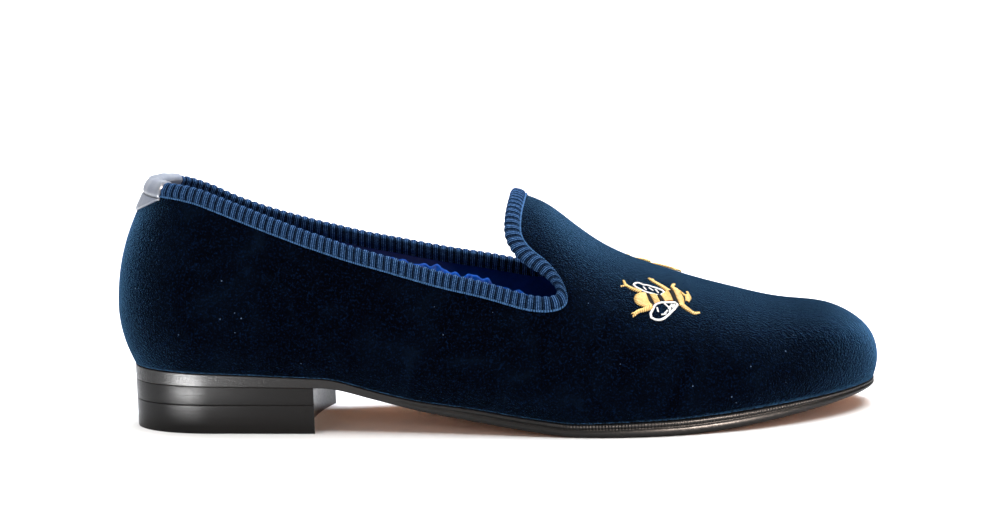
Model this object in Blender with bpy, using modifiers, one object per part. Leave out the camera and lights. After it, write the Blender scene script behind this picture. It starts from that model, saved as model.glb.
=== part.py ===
"""Velvet slipper loafer, the right shoe, standing on its sole. Heel at -X, toe at +X, the outer side at -Y.

The last is one smooth form. Across the shoe at x, its skin stands at the height

    crest * (closing - (|y - ridge| / half width) ** across_power) ** (1 / roundness)

above the feather line, where the closing falls from 1 to 0 at the back of the heel and at the tip of the toe.
The upper is that skin between two loops: the feather line below and the topline above. Every other piece takes
its place from the same loops.
"""

import bpy
import numpy as np

# Driving sizes in metres.
LENGTH = 0.299
BALL_WIDTH = 0.104
INSTEP_HEIGHT = 0.081
TOPLINE_HEIGHT = 0.097
HEEL_HEIGHT = 0.0192
SOLE_THICKNESS = 0.0060
HEEL_LENGTH = 0.0797
UPPER_WALL = 0.0020
INSOLE_THICKNESS = 0.0025
BINDING_WIDTH = 0.0047
BINDING_TAPE = 0.0006
TAB_WIDTH = 0.0420
TAB_OUTER_LENGTH = 0.0135
TAB_SIDE_LENGTH = 0.0061
TAB_INNER_LENGTH = 0.0100
TAB_TAPE = 0.0007
TOP_PIECE_HEIGHT = 0.0113
BREAST_HOLLOW = 0.0045
BREAST_SKEW = 0.0020
HEEL_BACK_LEAN = 0.0110
HEEL_BELLY = 0.027
FIT_GAP = 0.0003

# Shape of the rounding at both ends of the last.
HEEL_ROUNDING = 0.038
TOE_ROUNDING = 0.060
ACROSS_POWER = 2.3

# How round the fold of the binding is: how far in its shoulder lies and how high it stands, shares of the fold.
BINDING_SHOULDER = 0.45
BINDING_CROWN = 0.75

# The back of the heel leans forward above its belly, faster the higher it goes, and less towards the sides.
LEAN_POWER = 2.24
LEAN_FADE = 0.076

# The tab's section, from its end up to its fold. below: places under the binding, shares of what hangs there. over:
# places on the binding, shares of its depth. lift: share of the clearance over the binding at each of these places.
# crown: half the width of its fold, share of the upper's wall. rounding: how round its end is from side to side.
TAB_BELOW = np.array([1.0, 0.4])
TAB_OVER = np.array([1.0, 0.4, 0.0])
TAB_LIFT = np.array([0.4, 0.75, 1.0, 1.0, 1.0])
TAB_CROWN = 0.35
TAB_ROUNDING = 1.2

# How finely the loops are cut.
AROUND = 80
UP_ROWS = 17
ROW_CROWDING = 1.3
QUARTER_STATIONS = 16
FINE = 600
TAB_LINES = 4
TAB_SPLIT = 3
BINDING_ROWS = 3
BREAST_STATIONS = 9
PROBE = 0.0004
SHARP_ANGLE = np.radians(35)

# The last, a row for each section. at: share of the length from the heel. lateral, medial, ridge: places across,
# shares of the ball width. crest: height above the feather line, share of the instep height.
LAST = np.array(
    [
        # at, lateral, medial, ridge, crest, roundness
        (0.00, -0.285, 0.285, 0.000, 1.42, 2.2),
        (0.12, -0.300, 0.298, 0.000, 1.42, 2.2),
        (0.25, -0.328, 0.303, 0.005, 1.41, 2.2),
        (0.36, -0.360, 0.290, 0.010, 1.31, 2.2),
        (0.45, -0.402, 0.300, 0.018, 1.15, 2.3),
        (0.52, -0.438, 0.335, 0.026, 1.005, 2.35),
        (0.57, -0.463, 0.375, 0.035, 0.945, 2.25),
        (0.60, -0.476, 0.400, 0.041, 0.868, 2.2),
        (0.63, -0.485, 0.425, 0.048, 0.778, 2.15),
        (0.72, -0.475, 0.475, 0.072, 0.607, 2.2),
        (0.80, -0.420, 0.477, 0.088, 0.495, 2.7),
        (0.88, -0.352, 0.452, 0.092, 0.424, 3.7),
        (0.94, -0.303, 0.430, 0.092, 0.420, 4.4),
        (1.00, -0.235, 0.390, 0.092, 0.364, 4.5),
    ]
)

# How the wall turns in towards the feather line. tuck: how far, share of the ball width. belly: height of the widest
# place, share of the instep height. ledge: how far the sole stands out past the feather line, share of the ball width.
WALL = np.array(
    [
        # at, tuck, belly, ledge
        (0.00, 0.058, 0.31, 0.000),
        (0.12, 0.053, 0.31, 0.004),
        (0.30, 0.044, 0.28, 0.005),
        (0.45, 0.046, 0.26, 0.007),
        (0.65, 0.030, 0.18, 0.017),
        (0.85, 0.022, 0.13, 0.014),
        (1.00, 0.018, 0.12, 0.003),
    ]
)

# The underside of the sole, flat under the heel seat and under the ball. height: share of the heel height.
# slope: rise over run. thickness: share of the sole thickness.
SOLE = np.array(
    [
        # at, height, slope, thickness
        (0.000, 1.000, -0.0142, 0.95),
        (0.275, 0.940, -0.0142, 0.57),
        (0.345, 0.710, -0.2500, 0.49),
        (0.405, 0.476, -0.2150, 0.58),
        (0.470, 0.290, -0.1700, 0.76),
        (0.560, 0.076, -0.1100, 0.80),
        (0.610, 0.000, 0.0000, 0.83),
        (0.730, 0.000, 0.0000, 0.98),
        (0.810, 0.066, 0.0850, 0.97),
        (0.870, 0.160, 0.1150, 0.86),
        (0.930, 0.275, 0.1250, 0.66),
        (1.000, 0.415, 0.1300, 0.42),
    ]
)

# The topline seen from the side, along the quarters from the back of the heel. lateral, medial: heights above the
# floor, shares of the topline height.
QUARTERS = np.array(
    [
        # at, lateral, medial
        (0.000, 1.000, 1.000),
        (0.060, 1.000, 0.972),
        (0.100, 0.990, 0.934),
        (0.150, 0.946, 0.869),
        (0.215, 0.870, 0.798),
        (0.335, 0.736, 0.701),
        (0.400, 0.677, 0.659),
        (0.463, 0.624, 0.619),
        (0.520, 0.578, 0.581),
    ]
)

# The topline round the corner of the throat and up its edge, in the same shares.
THROAT = np.array(
    [
        # at, lateral, medial
        (0.560, 0.545, 0.556),
        (0.583, 0.543, 0.556),
        (0.592, 0.577, 0.588),
        (0.580, 0.630, 0.636),
        (0.554, 0.682, 0.682),
        (0.533, 0.745, 0.745),
        (0.526, 0.822, 0.822),
    ]
)
THROAT_AT = 0.530

# Which share of the topline each share of the feather line is joined to, from the heel to the toe.
JOINING = np.array([(0.0, 0.0), (0.28, 0.385), (0.52, 0.725), (0.66, 0.805), (1.0, 1.0)])

# The side of the sole from its top to its bottom. height: share of its thickness. forepart, back: how far the side
# stands in from the outline, shares of the sole thickness.
SOLE_SIDE = np.array(
    [
        # height, forepart, back
        (1.00, 0.04, 0.00),
        (0.86, 0.00, 0.00),
        (0.72, 0.02, 0.00),
        (0.62, 0.10, 0.00),
        (0.52, 0.05, 0.00),
        (0.14, 0.08, 0.00),
        (0.00, 0.20, 0.03),
    ]
)
FOREPART_FROM = 0.36
FOREPART_FULL = 0.52

LOOKS = {
    "velvet": ((0.004, 0.008, 0.024, 1.0), 0.95),
    "grosgrain": ((0.035, 0.055, 0.105, 1.0), 0.80),
    "satin": ((0.62, 0.66, 0.74, 1.0), 0.45),
    "sock leather": ((0.02, 0.05, 0.22, 1.0), 0.60),
    "sole leather": ((0.030, 0.028, 0.028, 1.0), 0.35),
    "heel leather": ((0.055, 0.052, 0.052, 1.0), 0.50),
}


def smooth_through(rows, column, at):
    """Reads one column of a table at any places by the natural cubic spline through its rows."""
    places = rows[:, 0]
    values = rows[:, column]
    steps = np.diff(places)
    grades = np.diff(values) / steps
    count = len(places)
    system = np.eye(count)
    bends = np.zeros(count)
    for i in range(1, count - 1):
        system[i, i - 1 : i + 2] = steps[i - 1], 2 * (steps[i - 1] + steps[i]), steps[i]
        bends[i] = 6 * (grades[i] - grades[i - 1])
    bends = np.linalg.solve(system, bends)
    i = np.clip(np.searchsorted(places, at) - 1, 0, count - 2)
    h = steps[i]
    a = (places[i + 1] - at) / h
    b = (at - places[i]) / h
    cubic = (a**3 - a) * bends[i] + (b**3 - b) * bends[i + 1]
    return a * values[i] + b * values[i + 1] + cubic * h * h / 6


def sole_bottom(x):
    """Height of the underside of the sole: a cubic between rows, with the slope that each row gives."""
    places = SOLE[:, 0] * LENGTH
    heights = SOLE[:, 1] * HEEL_HEIGHT
    slopes = SOLE[:, 2]
    i = np.clip(np.searchsorted(places, x) - 1, 0, len(places) - 2)
    h = places[i + 1] - places[i]
    t = (x - places[i]) / h
    rise = heights[i + 1] - heights[i]
    start = h * slopes[i] - rise
    end = rise - h * slopes[i + 1]
    return heights[i] + t * rise + t * (1 - t) * ((1 - t) * start + t * end)


def sole_thickness(x):
    return smooth_through(SOLE[:, [0, 3]], 1, x / LENGTH) * SOLE_THICKNESS


def feather_height(x):
    return sole_bottom(x) + sole_thickness(x) + FIT_GAP


def section(x):
    """The last's section at x: its edges, ridge, crest, roundness and closing."""
    at = x / LENGTH
    lateral = smooth_through(LAST, 1, at) * BALL_WIDTH
    medial = smooth_through(LAST, 2, at) * BALL_WIDTH
    ridge = smooth_through(LAST, 3, at) * BALL_WIDTH
    crest = smooth_through(LAST, 4, at) * INSTEP_HEIGHT
    roundness = smooth_through(LAST, 5, at)
    heel = np.clip((HEEL_ROUNDING - x) / HEEL_ROUNDING, 0, None)
    toe = np.clip((x - LENGTH + TOE_ROUNDING) / TOE_ROUNDING, 0, None)
    closing = np.clip(1 - heel**2 - toe**2, 0, None)
    return lateral, medial, ridge, crest, roundness, closing


def side_width(x, side):
    """Half width from the ridge to one edge; side is -1 for lateral and +1 for medial."""
    lateral, medial, ridge, _, _, _ = section(x)
    return np.where(side < 0, ridge - lateral, medial - ridge)


def skin_height(x, y):
    """Height of the last's skin above the feather line over the point x, y."""
    lateral, medial, ridge, crest, roundness, closing = section(x)
    width = np.where(y < ridge, ridge - lateral, medial - ridge)
    left = np.clip(closing - (np.abs(y - ridge) / width) ** ACROSS_POWER, 0, None)
    return crest * left ** (1 / roundness)


def along(points):
    """Distance along a chain of points, from 0."""
    steps = np.linalg.norm(np.diff(points, axis=0), axis=1)
    return np.concatenate([[0], np.cumsum(steps)])


def read_chain(points, shares):
    """Points at given shares of a chain's length."""
    run = along(points)
    return np.stack([np.interp(shares * run[-1], run, column) for column in points.T], axis=1)


def outline_half(side):
    """One side of the last's plan outline, from the back of the heel to the tip of the toe."""
    x = LENGTH * (1 - np.cos(np.linspace(0, np.pi, FINE))) / 2
    _, _, ridge, _, _, closing = section(x)
    y = ridge + side * side_width(x, side) * closing ** (1 / ACROSS_POWER)
    return np.stack([x, y], axis=1)


def turn_of(x, height):
    """How far round its section, from 0 at the feather line to a right angle at the ridge, a height above it lies."""
    _, _, _, crest, roundness, closing = section(x)
    rise = height / (crest * closing ** (1 / roundness))
    return np.arcsin(np.clip(rise, 0, 1) ** (roundness / 2))


def topline_half(side):
    """One side of the topline in plan: the heights of its tables carried onto the last's sections."""
    column = 1 if side < 0 else 2
    near_back = np.linspace(0, HEEL_ROUNDING, FINE)
    _, _, _, crest, roundness, closing = section(near_back)
    back_height = TOPLINE_HEIGHT - feather_height(0.0)
    back = np.interp(0, closing - (back_height / crest) ** roundness, near_back)
    quarter_end = QUARTERS[-1, 0] * LENGTH
    quarter_x = back + (quarter_end - back) * np.linspace(0, 1, QUARTER_STATIONS) ** 2
    quarter_z = smooth_through(QUARTERS, column, quarter_x / LENGTH) * TOPLINE_HEIGHT
    x = np.concatenate([quarter_x, THROAT[:, 0] * LENGTH])
    z = np.concatenate([quarter_z, THROAT[:, column] * TOPLINE_HEIGHT])
    turn = turn_of(x, z - feather_height(x))
    turn[0] = np.pi / 2
    x = np.append(x, THROAT_AT * LENGTH)
    turn = np.append(turn, np.pi / 2)
    mirrored_x = np.concatenate([x[2:0:-1], x, x[-2:-4:-1]])
    mirrored_turn = np.concatenate([np.pi - turn[2:0:-1], turn, np.pi - turn[-2:-4:-1]])
    chain = np.stack([mirrored_x, mirrored_turn * INSTEP_HEIGHT], axis=1)
    run = along(chain)
    places = np.linspace(run[2], run[-3], FINE)
    x = smooth_through(np.stack([run, chain[:, 0]], axis=1), 1, places)
    turn = smooth_through(np.stack([run, chain[:, 1]], axis=1), 1, places) / INSTEP_HEIGHT
    turn = np.clip(turn, 0, np.pi / 2)
    _, _, ridge, _, _, closing = section(x)
    reach = (closing ** (1 / ACROSS_POWER)) * np.cos(turn) ** (2 / ACROSS_POWER)
    return np.stack([x, ridge + side * side_width(x, side) * reach], axis=1)


def loop_of(half):
    """A closed loop of stations from the back of the heel, along the outer side to the toe and back inside."""
    shares = np.linspace(0, 1, AROUND // 2 + 1)
    outer = half(-1, shares)
    inner = half(1, shares)
    return np.concatenate([outer, inner[-2:0:-1]])


def feather_plan(side, shares):
    return read_chain(outline_half(side), shares)


def topline_plan(side, shares):
    return read_chain(topline_half(side), smooth_through(JOINING, 1, shares))


def loop_normals(loop):
    """Unit normals of a plan loop, pointing out of it."""
    run = np.roll(loop, -1, axis=0) - np.roll(loop, 1, axis=0)
    out = np.stack([run[:, 1], -run[:, 0]], axis=1)
    return out / np.linalg.norm(out, axis=1)[:, None]


OUTLINE = loop_of(feather_plan)
TOP_LOOP = loop_of(topline_plan)
OUTWARD = loop_normals(OUTLINE)


def wall_column(column):
    """One column of the wall table at each station of the loop."""
    return smooth_through(WALL, column, OUTLINE[:, 0] / LENGTH)


def feather_loop(stand_out):
    """The feather line in plan, moved outwards by some metres at each station."""
    tuck = wall_column(1) * BALL_WIDTH
    return OUTLINE + OUTWARD * (stand_out - tuck)[:, None]


def square_to_topline():
    """Plan directions that leave the topline square to it, down the skin, one for each station."""
    x, y = TOP_LOOP.T
    slope_x = (skin_height(x + PROBE, y) - skin_height(x - PROBE, y)) / (2 * PROBE)
    slope_y = (skin_height(x, y + PROBE) - skin_height(x, y - PROBE)) / (2 * PROBE)
    run_x, run_y = (np.roll(TOP_LOOP, -1, axis=0) - np.roll(TOP_LOOP, 1, axis=0)).T
    run = np.stack([run_x, run_y, slope_x * run_x + slope_y * run_y], axis=1)
    normal = np.stack([-slope_x, -slope_y, np.ones(len(x))], axis=1)
    down = np.cross(run, normal)[:, :2]
    return down / np.linalg.norm(down, axis=1)[:, None]


def skin_lines():
    """Lines on the outer skin from the feather line to the topline, one for each station.

    Each bends once, so that it comes to the topline square.
    """
    share = np.linspace(0, 1, FINE)[None, :, None]
    down = square_to_topline()
    reach = np.sum((OUTLINE - TOP_LOOP) * down, axis=1)
    start = OUTLINE[:, None, :]
    end = TOP_LOOP[:, None, :]
    bend = (TOP_LOOP + down * np.clip(reach, 0, None)[:, None] / 2)[:, None, :]
    ease = share ** smooth_through(LAST, 5, OUTLINE[:, 0] / LENGTH)[:, None, None]
    plan = (1 - ease) ** 2 * start + 2 * ease * (1 - ease) * bend + ease**2 * end
    height = skin_height(plan[..., 0], plan[..., 1])
    height[:, 0] = 0
    belly = (wall_column(2) * INSTEP_HEIGHT)[:, None]
    turn_in = (wall_column(1) * BALL_WIDTH)[:, None] * np.clip(1 - height / belly, 0, None) ** 2
    base = feather_height(plan[..., 0])
    plan = plan - OUTWARD[:, None, :] * turn_in[..., None]
    rise = np.clip(height - HEEL_BELLY, 0, None) / (TOPLINE_HEIGHT - feather_height(0.0) - HEEL_BELLY)
    fade = np.clip(1 - plan[..., 0] / LEAN_FADE, 0, 1) ** 2
    x = plan[..., 0] + HEEL_BACK_LEAN * rise**LEAN_POWER * fade
    return np.stack([x, plan[..., 1], base + height], axis=2)


def skin_rows(lines):
    """Rows of points on the skin lines: closer near the feather line, and at the edges of the binding."""
    rows = []
    for line in lines:
        run = along(line)
        free = run[-1] - BINDING_WIDTH
        lower = free * np.linspace(0, 1, UP_ROWS - 2) ** ROW_CROWDING
        upper = run[-1] - np.array([BINDING_WIDTH / 2, 0])
        places = np.concatenate([lower, upper])
        rows.append(np.stack([np.interp(places, run, column) for column in line.T], axis=1))
    return np.array(rows)


def ring_faces(across, closed, downward=()):
    """Quads between neighbouring stations of a ring; closed joins the last point across to the first.

    A quad is split from its first corner, so one that runs downward starts at its far corner and is split the
    same way as the skin beside it.
    """
    faces = []
    for i in range(AROUND):
        for j in range(across if closed else across - 1):
            k = (j + 1) % across
            n = (i + 1) % AROUND
            quad = (i * across + j, n * across + j, n * across + k, i * across + k)
            faces.append(quad[3:] + quad[:3] if j in downward else quad)
    return faces


def cap_faces(first, turned):
    """Strips across a loop of stations that starts at one end, from its outer to its inner side."""
    faces = [(first + 1, first, first + AROUND - 1)]
    for i in range(1, AROUND // 2 - 1):
        faces.append((first + i + 1, first + i, first + AROUND - i, first + AROUND - i - 1))
    i = AROUND // 2
    faces.append((first + i, first + i - 1, first + i + 1))
    return [face[::-1] for face in faces] if turned else faces


def make(name, points, faces, look, shift):
    """Makes one piece of the shoe from points and faces, with its own material."""
    mesh = bpy.data.meshes.new(name)
    mesh.from_pydata((points + shift).tolist(), [], faces)
    mesh.shade_smooth()
    mesh.set_sharp_from_angle(angle=SHARP_ANGLE)
    piece = bpy.data.objects.new(name, mesh)
    colour, roughness = LOOKS[look]
    material = bpy.data.materials.new(look)
    material.use_nodes = True
    shader = material.node_tree.nodes["Principled BSDF"]
    shader.inputs["Base Color"].default_value = colour
    shader.inputs["Roughness"].default_value = roughness
    mesh.materials.append(material)
    bpy.data.collections["velvet_slipper_loafer"].objects.link(piece)
    return piece


def add_upper(rows, shift):
    """The upper: the skin as an open ring, given its wall on the inside. Returns the normals of the skin."""
    piece = make("upper", rows.reshape(-1, 3), ring_faces(rows.shape[1], False), "velvet", shift)
    normals = np.empty(rows.size)
    piece.data.vertex_normals.foreach_get("vector", normals)
    wall = piece.modifiers.new("wall", "SOLIDIFY")
    wall.thickness = UPPER_WALL
    wall.offset = -1
    wall.use_even_offset = False
    return normals.reshape(rows.shape)


def binding_loop(points, normals):
    """The binding's section at one station, a channel round the upper's edge."""
    far = FIT_GAP + BINDING_TAPE
    wall = UPPER_WALL + FIT_GAP
    crown = UPPER_WALL / 2
    shoulder = crown * BINDING_SHOULDER
    up = points[-1] - points[-2]
    up = up / np.linalg.norm(up)
    out = normals[-1]
    outer = points + normals * far
    inner = (points - normals * (wall + BINDING_TAPE))[::-1]
    over = [
        outer[-1] - out * shoulder + up * far * BINDING_CROWN,
        points[-1] - out * crown + up * far,
        inner[0] + out * shoulder + up * far * BINDING_CROWN,
    ]
    lining = points - normals * wall
    lining[-1] += up * FIT_GAP
    velvet = (points + normals * FIT_GAP)[::-1]
    velvet[0] += up * FIT_GAP
    return np.vstack([outer, over, inner, lining, velvet])


def add_binding(rows, normals, shift):
    """The binding: a channel over the last rows of the skin, all the way round the topline."""
    edge = slice(-BINDING_ROWS, None)
    points = np.array([binding_loop(rows[i, edge], normals[i, edge]) for i in range(AROUND)])
    across = points.shape[1]
    downward = range(across - BINDING_ROWS, across - 1)
    make("topline_binding", points.reshape(-1, 3), ring_faces(across, True, downward), "grosgrain", shift)


def tab_strip(lines):
    """Skin lines across the width of the tab, their normals, and their places from -1 to 1 across it."""
    near = lines[np.arange(-TAB_LINES - 1, TAB_LINES + 2)]
    normals = np.cross(np.gradient(near, axis=0), np.gradient(near, axis=1))
    normals = normals / np.linalg.norm(normals, axis=2)[:, :, None]
    run = along(near[:, -1])
    run = run - run[TAB_LINES + 1]
    fine_run = np.interp(np.arange(0, len(run) - 1, 1 / TAB_SPLIT), np.arange(len(run)), run)
    places = fine_run[np.abs(fine_run) < TAB_WIDTH / 2 - FIT_GAP]
    places = np.concatenate([[-TAB_WIDTH / 2], places, [TAB_WIDTH / 2]])
    first = np.searchsorted(run, places, side="right") - 1
    share = ((places - run[first]) / (run[first + 1] - run[first]))[:, None, None]
    strip = near[first] * (1 - share) + near[first + 1] * share
    return strip, normals[first] * (1 - share) + normals[first + 1] * share, 2 * places / TAB_WIDTH


def read_below(line, values, depths):
    """Values on a skin line at depths below its top edge."""
    run = along(line)
    return np.stack([np.interp(run[-1] - depths, run, column) for column in values.T], axis=1)


def tab_depths(length, place):
    """Depths down the tab at a place across it: its end is round, from its middle length to its side length."""
    end = TAB_SIDE_LENGTH + (length - TAB_SIDE_LENGTH) * (1 - place**2) ** TAB_ROUNDING
    over = BINDING_WIDTH + TAB_TAPE + FIT_GAP
    return np.concatenate([over + TAB_BELOW * (end - over), TAB_OVER * over])


def tab_section(line, normals, place):
    """The tab's section at one line: down the outside, over the binding and down the inside."""
    clear = 2 * FIT_GAP + BINDING_TAPE
    outer_depths = tab_depths(TAB_OUTER_LENGTH, place)
    inner_depths = tab_depths(TAB_INNER_LENGTH, place)
    outside = read_below(line, line, outer_depths)
    inside = read_below(line, line, inner_depths)
    out = read_below(line, normals, outer_depths)
    inner_out = read_below(line, normals, inner_depths)
    up = line[-1] - read_below(line, line, np.array([BINDING_WIDTH / 2]))[0]
    up = up / np.linalg.norm(up)
    lift = clear * TAB_LIFT[:, None]
    crown = line[-1] - out[-1] * UPPER_WALL / 2
    half_fold = out[-1] * UPPER_WALL * TAB_CROWN
    fold = up * (clear + FIT_GAP)
    outer_fold = fold + up * TAB_TAPE
    far = [
        outside + out * (lift + TAB_TAPE),
        crown + half_fold + outer_fold,
        crown - half_fold + outer_fold,
        (inside - inner_out * (UPPER_WALL + clear + TAB_TAPE))[::-1],
    ]
    near = [
        inside - inner_out * (UPPER_WALL + clear),
        crown - half_fold + fold,
        crown + half_fold + fold,
        (outside + out * lift)[::-1],
    ]
    return np.vstack(far + near)


def add_heel_tab(lines, shift):
    """The satin tab: a strip over the binding at the centre back, from the outside down into the shoe."""
    strip, normals, places = tab_strip(lines)
    points = np.array([tab_section(*entry) for entry in zip(strip, normals, places)])
    across, count = points.shape[:2]
    end = (across - 1) * count
    faces = []
    for i in range(across - 1):
        for j in range(count):
            k = (j + 1) % count
            a = i * count
            b = a + count
            faces.append((a + j, b + j, b + k, a + k))
    for j in range(count // 2 - 1):
        k = count - 1 - j
        faces.append((j, j + 1, k - 1, k))
        faces.append((end + j + 1, end + j, end + k, end + k - 1))
    make("heel_tab", points.reshape(-1, 3), faces, "satin", shift)


def slab(loops, heights):
    """Points of a stack of plan loops, from the top down, each with its own heights."""
    return np.concatenate([np.column_stack([loop, height]) for loop, height in zip(loops, heights)])


def slab_faces(levels):
    """Faces round a stack of loops, with a cap of strips on its top and on its bottom."""
    faces = []
    for level in range(levels - 1):
        for i in range(AROUND):
            n = (i + 1) % AROUND
            a = level * AROUND
            b = a + AROUND
            faces.append((a + i, b + i, b + n, a + n))
    return faces + cap_faces(0, True) + cap_faces((levels - 1) * AROUND, False)


def add_outsole(shift):
    """The outsole: its outline with a beaded edge in the forepart, its underside arched and sprung at the toe."""
    ledge = wall_column(3) * BALL_WIDTH
    fore = np.clip((OUTLINE[:, 0] / LENGTH - FOREPART_FROM) / (FOREPART_FULL - FOREPART_FROM), 0, 1)
    loops = []
    heights = []
    for height, forepart, back in SOLE_SIDE:
        stand_in = (back + (forepart - back) * fore) * SOLE_THICKNESS
        loop = feather_loop(ledge - stand_in)
        x = np.clip(loop[:, 0], 0, LENGTH)
        loops.append(loop)
        heights.append(sole_bottom(x) + height * sole_thickness(x))
    make("outsole", slab(loops, heights), slab_faces(len(loops)), "sole leather", shift)


def add_insole(shift):
    """The insole: it fills the bottom of the upper, with a gap to its wall and to the outsole."""
    loop = feather_loop(np.full(AROUND, -UPPER_WALL - 2 * FIT_GAP))
    base = feather_height(loop[:, 0])
    heights = [base + INSOLE_THICKNESS, base]
    make("insole", slab([loop, loop], heights), slab_faces(2), "sock leather", shift)


def heel_outline():
    """The heel's plan outline: the sole's edge behind the breast, closed by the hollow breast."""
    edge = feather_loop(wall_column(3) * BALL_WIDTH)
    half = AROUND // 2
    outer = edge[: half + 1]
    inner = edge[np.arange(AROUND, half - 1, -1) % AROUND]
    sides = []
    for side, corner in ((outer, HEEL_LENGTH), (inner, HEEL_LENGTH + BREAST_SKEW)):
        count = int(np.sum(side[:half, 0] < corner - BREAST_SKEW))
        corner_y = np.interp(corner, side[:half, 0], side[:half, 1])
        sides.append(np.vstack([side[:count], [corner, corner_y]]))
    outer, inner = sides
    across = np.linspace(-1, 1, BREAST_STATIONS)[1:-1]
    middle = (outer[-1] + inner[-1]) / 2
    half_way = (inner[-1] - outer[-1]) / 2
    breast = middle + across[:, None] * half_way
    breast[:, 0] -= BREAST_HOLLOW * (1 - across**2)
    return np.vstack([outer, breast, inner[:0:-1]])


def add_heel_piece(name, top, bottom, shift):
    """One layer of the heel between the heights of its top and bottom at each point of the outline."""
    outline = heel_outline()
    count = len(outline)
    points = slab([outline, outline], [top, bottom])
    faces = [(i, count + i, count + (i + 1) % count, (i + 1) % count) for i in range(count)]
    faces.append(tuple(range(count)))
    faces.append(tuple(range(2 * count - 1, count - 1, -1)))
    make(name, points, faces, "heel leather", shift)


def add_heel(shift):
    """The heel: a stack under the sole, and the top piece that stands on the floor."""
    x = heel_outline()[:, 0]
    floor = np.zeros(len(x))
    add_heel_piece("heel_stack", sole_bottom(x) - FIT_GAP, floor + TOP_PIECE_HEIGHT + FIT_GAP, shift)
    add_heel_piece("heel_top_piece", floor + TOP_PIECE_HEIGHT, floor, shift)


def main():
    for item in list(bpy.data.objects):
        bpy.data.objects.remove(item)
    collection = bpy.data.collections.new("velvet_slipper_loafer")
    bpy.context.scene.collection.children.link(collection)
    lines = skin_lines()
    rows = skin_rows(lines)
    skin = rows.reshape(-1, 3)
    shift = -(skin.min(axis=0) + skin.max(axis=0)) / 2
    shift[2] = 0
    normals = add_upper(rows, shift)
    add_binding(rows, normals, shift)
    add_heel_tab(lines, shift)
    add_outsole(shift)
    add_insole(shift)
    add_heel(shift)


main()
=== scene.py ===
# %% [markdown]
# # A velvet slipper loafer
# The shoe stands on a pale floor in soft studio light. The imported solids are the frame. Each cell then lays a finer
# surface over one of them: the velvet, its lining, the ribbed binding, the satin tab, the sole, the heel and the
# embroidered bees. All sizes are metres, with the heel at -X, the toe at +X and the outer side of the foot at -Y.

import bmesh
import bpy
import numpy as np
from mathutils import Matrix


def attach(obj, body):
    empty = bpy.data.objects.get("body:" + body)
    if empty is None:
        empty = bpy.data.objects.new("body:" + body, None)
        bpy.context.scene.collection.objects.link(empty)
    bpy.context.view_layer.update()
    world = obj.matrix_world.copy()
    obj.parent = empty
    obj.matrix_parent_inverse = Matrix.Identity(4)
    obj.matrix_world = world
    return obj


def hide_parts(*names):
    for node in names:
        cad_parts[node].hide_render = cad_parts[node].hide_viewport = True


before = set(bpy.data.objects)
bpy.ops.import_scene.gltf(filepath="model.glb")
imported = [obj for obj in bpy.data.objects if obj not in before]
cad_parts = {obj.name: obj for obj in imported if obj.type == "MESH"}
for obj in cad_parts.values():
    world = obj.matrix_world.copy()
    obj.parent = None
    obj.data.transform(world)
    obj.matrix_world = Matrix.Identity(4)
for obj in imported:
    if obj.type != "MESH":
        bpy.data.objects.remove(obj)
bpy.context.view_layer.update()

# %% [markdown]
# ## Three small helpers
# Sizes on a shoe are thought of in millimetres. Many steps need a direction of length one. The camera and the lights
# each need a matrix that says where they stand and which way their own axes point.

# %% Millimetres and directions
MM = 0.001


def unit(vectors):
    """Vectors of length one, along the last axis: v / |v|."""
    return vectors / np.linalg.norm(vectors, axis=-1, keepdims=True)


def standing(x_axis, y_axis, z_axis, spot):
    """The matrix of an object at a spot with given axes: they are the first three rows of its four columns."""
    columns = np.eye(4)
    columns[:3] = np.stack([x_axis, y_axis, z_axis, spot], axis=1)
    return Matrix(columns.tolist())


print("one millimetre is", MM, "of Blender's units")

# %% [markdown]
# ## Camera
# The photograph looks at the outer side of the shoe from a little above and from slightly behind square. A long lens
# keeps the heel and the toe at nearly the same scale. The camera is turned about its own axis by two degrees, and a
# small shift puts the shoe where the photograph has it.

# %% Camera
AZIMUTH = np.radians(4.0)
ELEVATION = np.radians(10.2)
ROLL = np.radians(-2.03)
DISTANCE = 1.35
LENS_MM = 123.7
SENSOR_MM = 36.0
TARGET = np.array([-0.0013, 0.0, 0.046])
SHIFT = (0.0074, 0.0374)

right = np.array([np.cos(AZIMUTH), np.sin(AZIMUTH), 0.0])
level_back = np.array([np.sin(AZIMUTH), -np.cos(AZIMUTH), 0.0])
back = level_back * np.cos(ELEVATION) + np.array([0.0, 0.0, np.sin(ELEVATION)])
up = np.cross(back, right)
camera_x = right * np.cos(ROLL) + up * np.sin(ROLL)
camera_y = -right * np.sin(ROLL) + up * np.cos(ROLL)
place = TARGET + back * DISTANCE

camera_data = bpy.data.cameras.new("camera")
camera_data.lens = LENS_MM
camera_data.sensor_width = SENSOR_MM
camera_data.shift_x = SHIFT[0]
camera_data.shift_y = SHIFT[1]
camera = bpy.data.objects.new("camera", camera_data)
bpy.context.scene.collection.objects.link(camera)
camera.matrix_world = standing(camera_x, camera_y, back, place)
bpy.context.scene.camera = camera
print("camera at", place.round(3))

# %% [markdown]
# ## Helpers for materials
# Colours are written as the hex values that a screen shows, and one function turns them into the linear light that a
# renderer adds up. A second helper adds one node, sets its sockets and properties, and links what feeds it. The scale
# of a pattern is written as its cells to a millimetre, divided by the length of one.

# %% Colour and node helpers
def linear(hex_colour):
    """Linear light from an sRGB hex colour: ((c + 0.055) / 1.055) ** 2.4, or c / 12.92 near black."""
    srgb = np.array([int(hex_colour[i : i + 2], 16) for i in (1, 3, 5)]) / 255
    light = np.where(srgb > 0.04045, ((srgb + 0.055) / 1.055) ** 2.4, srgb / 12.92)
    return (*light.tolist(), 1.0)


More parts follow.
